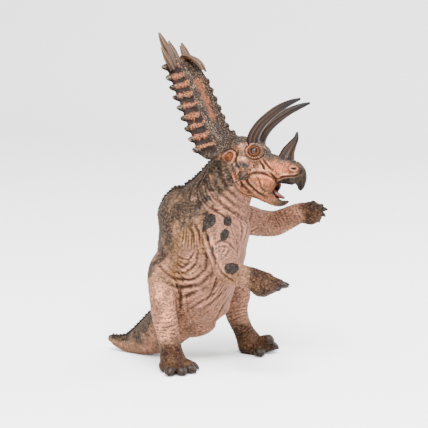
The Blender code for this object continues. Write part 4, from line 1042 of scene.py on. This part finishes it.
# The frill's own relief: ribs and valleys down the margin, a long shallow window beside the
# midline bar on each half, and raised scales between them and over the bar.
along, share, over, of_frill = on_frill(P)
drift = clouds(P, 6.0, 60) - 0.5
rib = np.cos(2 * np.pi * (along - SCALLOP_START - 1.0 + 1.5 * drift) / SCALLOP_PITCH)
margin = fade(share, 0.56, 0.7)
window = np.exp(-((share - 0.27) / 0.12)**4) * fade(along, 11, 16) * (1 - fade(along, 40, 45))
near, after = pebbles(P, 1.5, 61)
scales = np.clip((after - near) / 0.6, 0, 1)
rough = clouds(P, 1.2, 63) + 0.7 * clouds(P, 0.7, 64) - 0.85
frill_rise = (margin * (0.55 * rib + 0.25 * rough) - 0.55 * window * (over > 0)
              + (1 - margin) * (1 - window) * (0.5 * scales - 0.2)
              + 0.35 * np.exp(-((share - 0.6) / 0.05)**2) + 0.12 * rough)
uneven = 0.5 + 0.9 * clouds(P, 3.5, 66)
rise = rise * uneven * (1 - of_frill) + frill_rise * of_frill
rise += 0.12 * (clouds(P, 0.9, 68) - 0.5)
head.data.vertices.foreach_set("co", ((P + N * rise[:, None] + STAND) * MM).ravel())
P, N, edges = surface_of(head)
# The hollows take the dark wash and painted shade, the ridges the pale dry brush and painted highlight.
wash_and_shade, brush_and_highlight = hollows_and_ridges(rise, edges, 0.1, 0.4)

# Paint of the head, sprayed in head axes: centre, three radii and strength.
DARK_TOP = [
    ((-12, 8, 8), (9, 12, 7), 1.0), ((-2, 3, 8), (10, 9, 6), 1.1), ((8, 3, 1), (7, 7, 4.5), 1.0),
    ((16, 3, -1), (6, 6, 3.4), 1.0), ((23, 2, -2.5), (4, 4, 3), 1.0), ((27, 0, -6), (3.5, 3.2, 5), 0.9),
    ((-8, 14, -10), (3.5, 5, 3), 0.75), ((-4, 14, -9.5), (4, 5, 2), 0.7), ((5, 8, -1.5), (4, 4, 2), 0.7),
    ((-19, 10, 0), (4, 8, 5), 0.9), ((-12, 13, -11), (3, 5, 5), 0.6), ((-8, 12, -1.5), (2.4, 5, 2.6), 0.6)]
PALE = [
    ((-5.5, 13.5, -5.2), (2.8, 5, 2.2), 1.0), ((-9, 11, 3), (2.4, 5, 2.2), 0.8),
    ((6, 9, -10.5), (5, 5, 2.6), 0.95), ((1, 12, -11.5), (4, 5, 1.6), 0.8),
    ((-11, 12.5, -10), (2.2, 4, 4), 0.7), ((20, 5, -11.5), (6, 4, 1.6), 0.7),
    ((11.5, 7, -6.5), (3, 4, 2), 0.5)]
ORANGE = [
    ((-14.5, 12.5, -5), (3.8, 6, 3.8), 1.0), ((-17, 12, -9), (2, 6, 5), 0.6),
    ((23.5, 5, -7.5), (3.6, 4, 3), 0.5), ((13, 5, -20), (4, 4, 4), 0.6),
    ((11, 6, -26), (6, 5, 2.4), 0.6), ((-10, 11, -16), (3, 5, 4), 0.5)]
PEACH = [
    ((7, 9, -17), (6.5, 6, 5), 1.0), ((16, 6, -9), (8, 5, 5), 0.9), ((-1, 8, -24), (7, 8, 4), 0.5),
    ((8, 0, -29), (8, 6, 4), 0.6)]
SPOTS = [
    ((1.5, 12.5, -9), 0.7), ((2.5, 10, -7.5), 0.6), ((0, 14, -12), 0.8), ((-3, 15, -17), 0.8),
    ((0, 13.5, -16.5), 0.6), ((8.5, 9, -16.5), 0.5), ((-9.5, 10.5, -20), 0.8),
    ((-2, 10, -23), 0.7), ((-1, 8.5, -19.5), 0.6), ((-5, 10.5, -22), 0.9), ((-1, 8, -25), 0.7),
    ((-6, 14.5, -14), 0.8), ((18, 5.5, -12), 0.5), ((3, 10, -21), 0.5), ((-7, 12, -18), 0.6),
    ((14, 6, -12.5), 0.4), ((-12, 11, -14), 0.7), ((5, 9.5, -13), 0.4)]
H = sides_alike(to_head(P))
own = to_head(P)
lip_height = np.interp(H[:, 0], (13, 16, 19.5, 25, 27.5, 29.5), (-17, -15, -13, -12, -10.5, -9))
beak = fade(lip_height - H[:, 2], 0.2, 1.4) * fade(H[:, 0], 13, 17) * (own[:, 2] > -24)
beak = np.maximum(beak, fade(H[:, 0], 26.6, 28.2) * (H[:, 2] < -6))
low_beak = fade(H[:, 0] + 0.5 * (H[:, 2] + 24), 12, 17) * (H[:, 2] < -23.2)
spots = np.zeros(len(H))
for centre, radius in SPOTS:
    torn = 0.5 * (clouds(H, 1.2, 44) - 0.5) - np.linalg.norm(H - centre, axis=1)
    spots = np.maximum(spots, fade(torn, -1.5 * radius, -0.6 * radius))
from_eye = np.linalg.norm((H - EYE) * EYE_STRETCH, axis=1)
lids = np.exp(-((from_eye - 2.6) / 0.9)**2) * (H[:, 1] > 7)
pit = np.exp(-(np.linalg.norm((H - NOSTRIL) * (0.8, 0.7, 1.6), axis=1) / 1.35)**2)
_, gap, radius = nearest(own, MOUTH)
lining = fade(1.22 * radius - gap, -0.1, 0.4) * (own[:, 0] < 26) * (own[:, 2] > -27)
masked(head, "relief", wash_and_shade, brush_and_highlight, lining, pit)
masked(head, "spray", *(sprayed(H, spots_of, seed, (1,), 4.0, 1.4, 1.0) for spots_of, seed in (
    (DARK_TOP, 51), (PALE, 53), (ORANGE, 55), (PEACH, 57))))
masked(head, "marks", beak, low_beak, spots, lids)
along, share, over, of_frill = on_frill(P)
drift = clouds(P, 6.0, 60) - 0.5
rib = np.cos(2 * np.pi * (along - SCALLOP_START - 1.0 + 1.8 * drift) / SCALLOP_PITCH)
ragged = clouds(P, 2.2, 65) - 0.5
salmon = (fade(rib + 2.2 * ragged + 0.3, -0.2, 0.7) * fade(share + 0.3 * ragged, 0.56, 0.72)
          * fade(along, -4, 0))
salmon = salmon * (1 - 0.85 * fade(share, 0.98, 1.1))
window = (np.exp(-((share - 0.27 + 0.16 * ragged) / 0.115)**4) * fade(along + 6 * ragged, 11, 16)
          * (1 - fade(along, 41, 46)) * (over > -0.5))
band = np.exp(-((share - 0.48) / 0.12)**2) * fade(clouds(P, 2.6, 67), 0.4, 0.62)
band = np.maximum(band, 0.8 * fade(share, 1.02, 1.12) * fade(clouds(P, 2.0, 69), 0.3, 0.6))
masked(head, "frill", np.maximum(salmon, 0.9 * window), band, window, of_frill)

material, wire, shader = finish_for("painted_face", 0.55, 0.09)
wash_and_shade_mask, brush_and_highlight_mask, lining_mask, pit_mask = wire.masks("relief")
dark_paint_and_fold_shade_mask, pale_mask, orange_mask, peach_mask = wire.masks("spray")
beak_mask, low_beak_mask, spot_mask, lid_mask = wire.masks("marks")
fine = wire.noise(1.0, 5.0)
grains = wire.cells(0.6)
streaks = wire.noise(1.6, 4.0, wire.make("ShaderNodeMapping", inputs={
    "Vector": wire.place(), "Scale": (1, 1, 0.25)}))
base = wire.mix(wire.noise(3.0, 4.0).step(0.35, 0.65), tint(134, 96, 70), tint(196, 154, 124))
base = base.over(tint(220, 162, 122), peach_mask * 0.9)
base = base.over(tint(226, 208, 190), pale_mask.step(0.3, 0.9) * 0.85)
base = base.over(tint(158, 96, 58), orange_mask.step(0.15, 0.8) * 0.85)
topped = wire.mix(fine.step(0.35, 0.65), tint(48, 45, 46), tint(126, 114, 104))
base = base.over(topped, (dark_paint_and_fold_shade_mask + fine * 0.5 - 0.25).step(0.2, 0.7) * 0.95)
base = base.over(tint(82, 52, 36), spot_mask * 0.9)
salmon_mask, band_mask, window_mask, frill_mask = wire.masks("frill")
scaled = wire.mix(fine.step(0.36, 0.64), tint(44, 36, 33), tint(98, 82, 70))
scaled = scaled.over(tint(184, 174, 158), band_mask.step(0.1, 0.9) * fine.step(0.4, 0.6) * 0.85)
flushed = wire.mix(fine.step(0.35, 0.65), tint(124, 74, 48), tint(206, 148, 106))
scaled = scaled.over(flushed, (salmon_mask + fine * 0.5 - 0.25).step(0.2, 0.75) * 0.92)
scaled = scaled.over(tint(206, 152, 116), window_mask * (fine * 0.6))
base = base.over(scaled, frill_mask)
# Painted shade: dark brown laid into the hollows of the head's relief, over the toy's own wash.
base = base.over(tint(72, 44, 30), wash_and_shade_mask * 0.75 * (1 - beak_mask))
# Painted highlight: pale paint on the ridges of the head's relief, together with the toy's own dry brush.
base = base.over(base.over(tint(246, 222, 196), 0.5), brush_and_highlight_mask * (0.85 + fine * 0.3) * (1 - beak_mask))
horny = wire.mix(streaks.step(0.3, 0.7), tint(50, 42, 38), tint(108, 92, 80))
base = base.over(horny, beak_mask * 0.95)
base = base.over(horny.over(tint(128, 104, 84), 0.35), low_beak_mask * 0.9)
base = base.over(tint(124, 72, 44), lid_mask * 0.9)
base = base.over(tint(72, 30, 22), lining_mask * 0.92)
base = base.over(tint(34, 22, 18), pit_mask.step(0.4, 0.8) * 0.95)
coloured(wire, shader, base, fine * 0.35 - grains, 0.12, 0.7)
head.data.materials.clear()
head.data.materials.append(material)
thin = head.modifiers.new("thin", "DECIMATE")
thin.ratio = min(1.0, HEAD_FACETS / (2 * len(head.data.polygons)))
head.data.shade_smooth()
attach(head, "root")
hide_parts("head", "lower_jaw", "frill")

# Horns
# The brow, nose and cheek horns are hard vinyl, each moulded with lengthwise grooves and a few
# rings at its root, and painted from brown at the root to near black at the tip.
BROW_HORN = [
    (-2, 6, 1, 4.2, 4.2, 4.2),
    (-3.2, 6.8, 8, 3.9, 3.9, 3.9),
    (-0.2, 7.6, 15.5, 3.3, 3.3, 3.3),
    (5.2, 8.6, 22, 2.85, 2.85, 2.85),
    (11.5, 9.6, 27.6, 2.4, 2.4, 2.4),
    (18.5, 10.3, 31.9, 1.75, 1.75, 1.75),
    (24, 10.6, 34.5, 0.8, 0.8, 0.8)]
NOSE_HORN = [
    (17.2, 0, -4, 4.4, 5.6, 5.8),
    (18.1, 0, 2, 3.1, 4.1, 4.5),
    (19.8, 0, 6.5, 2.3, 2.9, 3.2),
    (21.7, 0, 11, 1.5, 1.8, 1.8),
    (22, 0, 15, 0.6, 0.7, 0.7)]
CHEEK_HORN = [
    (-3, 11, -13, 3.2, 3.2, 3.2),
    (-3.7, 14.4, -16.2, 2.7, 2.7, 2.7),
    (-4.2, 17.4, -17.9, 0.8, 0.8, 0.8)]


def grooved(stations, place, side=(0, 1, 0), sides=64, steps=90, grooves=9, depth=0.22):
    """A tube whose radius swells and sinks around its girth, with its own place map.

    The radius is multiplied by 1 + depth * (waves round the girth + rings at the root), the
    waves drift a little along the horn, and they fade out towards the tip.
    """
    points, faces = tube(stations, side, sides, steps)
    rings = len(points[:-2]) // sides
    run = np.repeat(np.linspace(0, 1, rings), sides)
    turn = np.tile(np.linspace(0, 2 * np.pi, sides, endpoint=False), rings)
    rows = points[:-2].reshape(rings, sides, 3)
    middle = np.repeat(rows.mean(axis=1), sides, axis=0)
    drift = 2.4 * (clouds(np.stack([run * 3, turn * 0, turn * 0], -1), 1.0, 70) - 0.5)
    wave = 0.6 * np.sin(grooves * turn + 5 * drift) + 0.4 * np.sin((2 * grooves + 3) * turn - 7 * drift)
    root = np.exp(-(run / 0.16)**2) * np.sin(34 * run * 2 * np.pi / 4)
    bulge = depth * (wave * (1 - fade(run, 0.75, 1.0)) * 0.45 + 0.5 * root) / 2
    points[:-2] = middle + (points[:-2] - middle) * (1 + bulge * 0.5)[:, None]
    points[:-2] += unit(points[:-2] - middle) * (0.08 * (clouds(points[:-2], 0.9, 71) - 0.5))[:, None]
    shades = np.append(run, (0, 1)), np.append(np.clip(0.5 - 0.7 * wave, 0, 1), (0.5, 0.5))
    return (place(points), faces), shades


def horny_finish(name, root, mid, tip):
    """Horn paint: three tones along its length, dark in the grooves, worn pale on the ridges."""
    material, wire, shader = finish_for(name, 0.45, 0.16)
    run, groove, _, _ = wire.masks("horn")
    fine = wire.noise(0.7, 5.0)
    base = wire.mix((run + fine * 0.25 - 0.12).step(0.0, 0.35), root, mid)
    base = base.over(tip, (run + fine * 0.2 - 0.1).step(0.55, 0.95))
    base = base.over(tint(40, 30, 25), groove.step(0.45, 1.0) * 0.75)
    base = base.over(tint(172, 138, 112), (1 - groove).step(0.62, 1.0) * (1 - run * 0.75) * fine)
    coloured(wire, shader, base, fine, 0.1, 0.5)
    return material


def horned(name, shape, shades, material):
    """A grooved shape as a piece, with its shades and its paint."""
    thing = piece(name, *shape)
    run, groove = shades
    masked(thing, "horn", run, groove)
    thing.data.materials.append(material)
    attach(thing, "root")
    return thing


horn_paint = horny_finish("painted_horn", tint(74, 56, 44), tint(98, 72, 56), tint(38, 32, 30))
cheek_paint = horny_finish("painted_cheek_horn", tint(160, 112, 80), tint(128, 90, 66), tint(84, 62, 48))
for name, turn in (("left", 1), ("right", -1)):
    for kind, stations, side, paint in (("brow_horn", BROW_HORN, (0, 1, 0), horn_paint),
                                        ("cheek_horn", CHEEK_HORN, (1, 0, 0), cheek_paint)):
        rows = [(u, turn * v, w, *rest) for u, v, w, *rest in stations]
        shape, shades = grooved(rows, from_head, side)
        thing = horned(f"{kind}_cover_{name}", shape, shades, paint)
        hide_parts(f"{kind}_{name}")
shape, shades = grooved(NOSE_HORN, from_head, grooves=8)
thing = horned("nose_horn_cover", shape, shades, horn_paint)
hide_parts("nose_horn")

# Points on the frill's end
# Three long points stand on each corner and beside the notch, and over the notch a pair curls
# forward over the frill. They are one moulding with it, painted pale at the tips.
FRILL_POINTS = [
    [(54, 18.0, -12, 3.8, 2.4), (64, 19.2, -10.6, 3.3, 2.6), (71, 20, -10, 2.4, 2),
     (76.4, 20.5, -9.6, 0.9, 0.8)],
    [(52, 21.0, -12.8, 3.2, 1.8), (60, 22.6, -12.2, 2.5, 1.8), (66.6, 24, -11.6, 0.8, 0.7)],
    [(56, 10.5, -9.8, 2.8, 1.8), (65, 10.5, -9.4, 2.4, 1.9), (72, 10.5, -9, 0.8, 0.7)],
    [(57, 3.6, -9.4, 2.8, 2), (60.4, 3.8, -7.2, 3, 1.9), (57.6, 4, -3.4, 3, 1.8),
     (52.6, 4, -1.2, 2.4, 1.6), (47.2, 3.8, -0.4, 0.7, 0.6)]]
point_paint = horny_finish("painted_frill_point", tint(96, 68, 48), tint(146, 110, 80),
                           tint(164, 138, 112))
for name, turn in (("left", 1), ("right", -1)):
    shapes, runs, grooves_in = [], [], []
    for rows in FRILL_POINTS:
        path = [(along, turn * across, lift, wide, deep, deep)
                for along, across, lift, wide, deep in rows]
        shape, (run, groove) = grooved(path, from_frill, sides=36, steps=44, grooves=6)
        shapes.append(shape)
        runs.append(run)
        grooves_in.append(groove)
    thing = horned(f"frill_points_{name}", gathered(shapes),
                   (np.concatenate(runs), np.concatenate(grooves_in)), point_paint)

# Nails
# Each toe and finger ends in a blunt hoof-like nail, moulded with it and painted grey brown
# with a pale rim where it leaves the skin.
TOE_NAIL = (-1.6, 3.3, 5.6, 3.5)    # start past the toe's end, height, length and radius
FINGER_NAIL = (3.0, 4.6, 2.1)       # start from the root, length and radius


def nail(root, direction, length, radius, across, droop):
    """A short broad cone with a domed end: its sections shrink and sink along its length."""
    direction, across = unit(direction), unit(across)
    up = np.cross(direction, across)
    up = up if up[2] > 0 else -up
    rows = []
    for share, width, high, fall in ((0, 0.9, 0.75, 0), (0.3, 1.02, 0.82, 0.02), (0.6, 0.9, 0.66, 0.1),
                                     (0.85, 0.6, 0.42, 0.2), (1.0, 0.2, 0.16, 0.3)):
        centre = np.array(root) + direction * length * share - up * droop * fall * length
        rows.append((*centre, radius * width, radius * high, radius * high))
    return rows


nails = []
start, high, length, radius = TOE_NAIL
for centre, heading, toes in FEET.values():
    for angle, lift in toes:
        turn = math.radians(heading + angle)
        ahead = np.array([math.cos(turn), math.sin(turn), 0])
        across = np.array([-ahead[1], ahead[0], 0])
        root = np.array([*centre, high + lift]) + ahead * (TOE_LENGTH + start)
        nails.append((nail(root, ahead + (0, 0, -0.1), length, radius, across, 1.0), across))
reach, length, radius = FINGER_NAIL
for digits in FINGERS.values():
    for root, direction in digits:
        heading = unit(direction)
        across = unit(np.cross(heading, (0.1, 0.2, 1)))
        nails.append((nail(np.array(root) + heading * reach, heading, length, radius, across, 0.6), across))
shapes, runs, grooves_in = [], [], []
for rows, across in nails:
    shape, (run, groove) = grooved(rows, np.array, tuple(across), sides=32, steps=20, grooves=7, depth=0.12)
    shapes.append(shape)
    runs.append(run)
    grooves_in.append(groove)
nail_paint = horny_finish("painted_nail", tint(150, 116, 86), tint(88, 66, 50), tint(66, 50, 40))
points, faces = gathered(shapes)
points[:, 2] = np.maximum(points[:, 2], SOLE)
thing = horned("nails", (points, faces), (np.concatenate(runs), np.concatenate(grooves_in)),
               nail_paint)

# Spikes along the back
# Rows of small pointed scales run from the nape over the back to the end of the tail. They
# stand square on the skin and lean back, the middle row a little taller than its neighbours.
BACK_LINE = [
    (6, 134), (-6, 124), (-15, 116), (-27, 111), (-36, 103), (-40, 92), (-42, 78),
    (-43, 64), (-46, 50), (-52, 40), (-59, 32), (-66, 25), (-74, 20), (-82, 17)]
BACK_CASTS_AT = [
    (2, 124), (-10, 112), (-17, 104), (-22, 98), (-22, 92), (-20, 86), (-18, 76),
    (-18, 64), (-20, 50), (-24, 34), (-34, 20), (-48, 10), (-60, 6), (-70, 7)]
SPIKE_PITCH = 2.3
SPIKE_HEIGHT = 2.4
SPIKE_SIDES = 7
SPIKE_LEVELS = np.array([(-0.5, 0.75), (0.0, 0.72), (0.35, 0.5), (0.7, 0.24)])  # height and girth
SPIKE_ROWS = ((0.0, 1.0, 0.0), (2.4, 0.72, 0.5), (-2.4, 0.72, 0.5), (4.8, 0.5, 0.0), (-4.8, 0.5, 0.0))
CAST_REACH = 26                 # half the box in which each cast looks for skin
CAST_GAP = 0.7                  # how near to the cast a point of the skin has to lie
outer, inner = through(BACK_LINE, 600), through(BACK_CASTS_AT, 600)
length = np.concatenate([[0], np.cumsum(np.linalg.norm(np.diff(outer, axis=0), axis=1))])
skin_points, skin_normals, _ = surface_of(skin)
rows_of_spikes = []
for offset, tall, start in SPIKE_ROWS:
    reaches = np.arange(2.0 + start * SPIKE_PITCH, length[-1] - 3, SPIKE_PITCH)
    index = np.searchsorted(length, reaches)
    share = reaches / length[-1]
    tail_x, tail_y = np.array(TAIL)[::-1, :2].T
    y = np.interp(inner[index, 0], tail_x, tail_y) * fade(-inner[index, 0], 18, 26)
    spread_out = offset * (1 - 0.55 * fade(share, 0.6, 1.0)) * (0.8 + 0.4 * fade(share, 0.15, 0.3))
    start_at = np.column_stack([outer[index, 0], y + spread_out, outer[index, 1]])
    aim_at = np.column_stack([inner[index, 0], y + 0.6 * spread_out, inner[index, 1]])
    heading = unit(aim_at - start_at)
    for origin, way, part_way in zip(start_at, heading, share):
        near_line = (np.abs(skin_points - origin) < CAST_REACH).all(axis=1)
        away = skin_points[near_line] - origin
        step = away @ way
        gap = np.linalg.norm(away - step[:, None] * way, axis=1)
        found = np.flatnonzero(gap < CAST_GAP)
        if len(found) == 0:
            continue
        first = found[np.argmin(step[found])]
        chosen = np.flatnonzero(near_line)[first]
        size = SPIKE_HEIGHT * tall * (1.0 - 0.25 * part_way)
        rows_of_spikes.append((*skin_points[chosen], *skin_normals[chosen], size))
rows_of_spikes = np.array(rows_of_spikes)
base_at, normal, size = rows_of_spikes[:, :3], rows_of_spikes[:, 3:6], rows_of_spikes[:, 6:]
lean = unit(normal + 0.45 * unit((-0.5, 0, -0.6)))
across = unit(np.cross(lean, (0.0, 1.0, 0.0)))
other = np.cross(lean, across)
turn = np.linspace(0, 2 * np.pi, SPIKE_SIDES, endpoint=False)
ring = (across[:, None, None] * np.cos(turn)[:, None] * 1.15
        + other[:, None, None] * np.sin(turn)[:, None] * 0.85)
height, girth = (SPIKE_LEVELS[:, column:column + 1] * size[:, :, None] for column in (0, 1))
cones = base_at[:, None, None] + lean[:, None, None] * height[..., None] + ring * girth[..., None]
tips = base_at + lean * size
count = len(base_at)
points = np.concatenate([cones.reshape(count, -1, 3), (base_at - lean * size * 0.5)[:, None],
                         tips[:, None]], axis=1).reshape(-1, 3)
quads, caps = capped(len(SPIKE_LEVELS), SPIKE_SIDES)
moves = np.arange(count)[:, None, None] * (len(SPIKE_LEVELS) * SPIKE_SIDES + 2)
faces = (quads + moves).reshape(-1, 4).tolist() + (caps + moves).reshape(-1, 3).tolist()
spikes = piece("back_spikes", points, faces)
material, wire, shader = finish_for("painted_spike", 0.6, 0.08)
fine = wire.noise(1.2, 4.0)
base = wire.mix(fine.step(0.35, 0.65), tint(54, 46, 40), tint(112, 94, 78))
coloured(wire, shader, base, fine, 0.1, 0.5)
spikes.data.materials.append(material)
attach(spikes, "root")

# Eyes
# Each eye is a glossy ball set behind the lids, dark red brown with a black slit pupil and a
# clear varnish.
EYE_RADIUS = 2.3
for name, turn in (("left", 1), ("right", -1)):
    centre = EYE * (1, turn, 1)
    points, faces = ball((0, 0, 0), (EYE_RADIUS,) * 3, sides=48, rings=32)
    eye = piece("eyeball_" + name, from_head(points + centre), faces)
    look = unit(points * (1, turn, 1))
    pupil = np.linalg.norm(look[:, [0, 2]] - (0.1, 0.02), axis=1) * (look[:, 1] > 0) + 2 * (look[:, 1] <= 0)
    masked(eye, "iris", fade(pupil, 0.2, 0.3), fade(pupil, 0.5, 0.75))
    material, wire, shader = finish_for("eye_varnish_" + name, 0.16, 0.3)
    past_pupil, past_iris, _, _ = wire.masks("iris")
    base = wire.mix(wire.noise(0.5, 4.0), tint(84, 34, 20), tint(116, 54, 30))
    base = base.over(tint(16, 10, 9), 1 - past_pupil)
    base = base.over(tint(64, 26, 18), past_iris * 0.8)
    coloured(wire, shader, base)
    shader.inputs["Coat Weight"].default_value = 0.15
    eye.data.materials.append(material)
    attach(eye, "root")
    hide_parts("eye_" + name)

# Tongue
# The tongue is a tapered pad with a groove down its middle, painted dark flesh red.
TONGUE = [
    (9.5, 0, -22.1, 1.9, 1.4, 1.7),
    (12.5, 0, -23.2, 2.0, 1.5, 1.8),
    (16, 0, -24.7, 1.9, 1.4, 1.6),
    (19.3, 0, -25.6, 0.9, 0.9, 0.8)]
points, faces = tube(TONGUE, sides=48, steps=60)
points[:, 2] -= 0.45 * np.exp(-(points[:, 1] / 0.45)**2) * (points[:, 2] > -24.6)
points[:, 2] += 0.1 * (clouds(points, 0.7, 90) - 0.5)
tongue = piece("tongue_pad", from_head(points), faces)
material, wire, shader = finish_for("tongue_paint", 0.35, 0.3)
base = wire.mix(wire.noise(0.9, 4.0), tint(120, 60, 50), tint(170, 98, 82))
coloured(wire, shader, base, wire.noise(0.5, 3.0), 0.1, 0.5)
tongue.data.materials.append(material)
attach(tongue, "root")
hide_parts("tongue")

# Floor, light and camera
# The toy stands on a pale seamless sheet under soft studio lamps, and is seen from its
# front right and a little above.
SHEET_SPAN = 6.0                # in metres
SHEET_CELLS = 60
SHEET_BEND_FROM = 1.2           # it curves up behind the toy from here
lines = np.linspace(-SHEET_SPAN / 2, SHEET_SPAN / 2, SHEET_CELLS + 1)
grid = np.stack(np.meshgrid(lines, lines), -1).reshape(-1, 2)
points = np.column_stack([grid, 0.9 * np.clip(grid[:, 1] - SHEET_BEND_FROM, 0, None)**1.6])
here = np.arange(SHEET_CELLS)
cell = (here[:, None] * (SHEET_CELLS + 1) + here).ravel()
faces = np.stack([cell, cell + 1, cell + SHEET_CELLS + 2, cell + SHEET_CELLS + 1], -1).tolist()
mesh = bpy.data.meshes.new("studio_sheet")
mesh.from_pydata(points.tolist(), [], faces)
mesh.shade_smooth()
floor = bpy.data.objects.new("studio_sheet", mesh)
bpy.context.scene.collection.objects.link(floor)
material, wire, shader = finish_for("white_paper", 0.9, 0.1)
paper = wire.mix(wire.noise(200.0), (0.93, 0.93, 0.93, 1), (0.96, 0.96, 0.96, 1))
coloured(wire, shader, paper)
mesh.materials.append(material)

CAMERA_TURN = math.radians(20)
CAMERA_RISE = math.radians(9)
CAMERA_REACH = 1100.0           # distance from what it looks at, in millimetres
CAMERA_AIM = np.array([-4.0, 15.0, 92.0])
FOCAL_SHARE = 1740.5 / 428      # focal length as a share of the picture's width
SENSOR = 36.0


def posed(x, y, z, place):
    """The matrix that turns an object's axes to x, y and z and moves it to a place."""
    return Matrix([(*row, end) for row, end in zip(np.stack([x, y, z], -1), place)] + [(0, 0, 0, 1)])


back_way = np.array([math.sin(CAMERA_TURN) * math.cos(CAMERA_RISE),
                     -math.cos(CAMERA_TURN) * math.cos(CAMERA_RISE), math.sin(CAMERA_RISE)])
right_way = np.array([math.cos(CAMERA_TURN), math.sin(CAMERA_TURN), 0.0])
up_way = np.cross(back_way, right_way)
lens = bpy.data.cameras.new("studio_camera")
lens.sensor_width = SENSOR
lens.lens = SENSOR * FOCAL_SHARE
lens.clip_end = 20
camera = bpy.data.objects.new("studio_camera", lens)
spot = (CAMERA_AIM + back_way * CAMERA_REACH + STAND) * MM
camera.matrix_world = posed(right_way, up_way, back_way, spot)
bpy.context.scene.collection.objects.link(camera)
bpy.context.scene.camera = camera


def lamp(name, place, aim, size, watts):
    """A square soft lamp at a place in metres, turned to what it lights."""
    light = bpy.data.lights.new(name, "AREA")
    light.shape = "SQUARE"
    light.size = size
    light.energy = watts
    thing = bpy.data.objects.new(name, light)
    z = unit(np.array(place, float) - aim)
    x = unit(np.cross((0, 0, 1), z))
    thing.matrix_world = posed(x, np.cross(z, x), z, place)
    bpy.context.scene.collection.objects.link(thing)


aim = np.array([0.0, 0.0, 0.09])
lamp("key", (0.25, -0.7, 1.3), aim, 0.8, 78)
lamp("fill", (-1.0, -0.9, 0.6), aim, 1.0, 20)
lamp("rim", (0.9, 0.7, 0.8), aim, 0.9, 22)
world = bpy.data.worlds.new("studio")
world.use_nodes = True
world.node_tree.nodes["Background"].inputs["Color"].default_value = (1, 1, 1, 1)
world.node_tree.nodes["Background"].inputs["Strength"].default_value = 1.9
bpy.context.scene.world = world
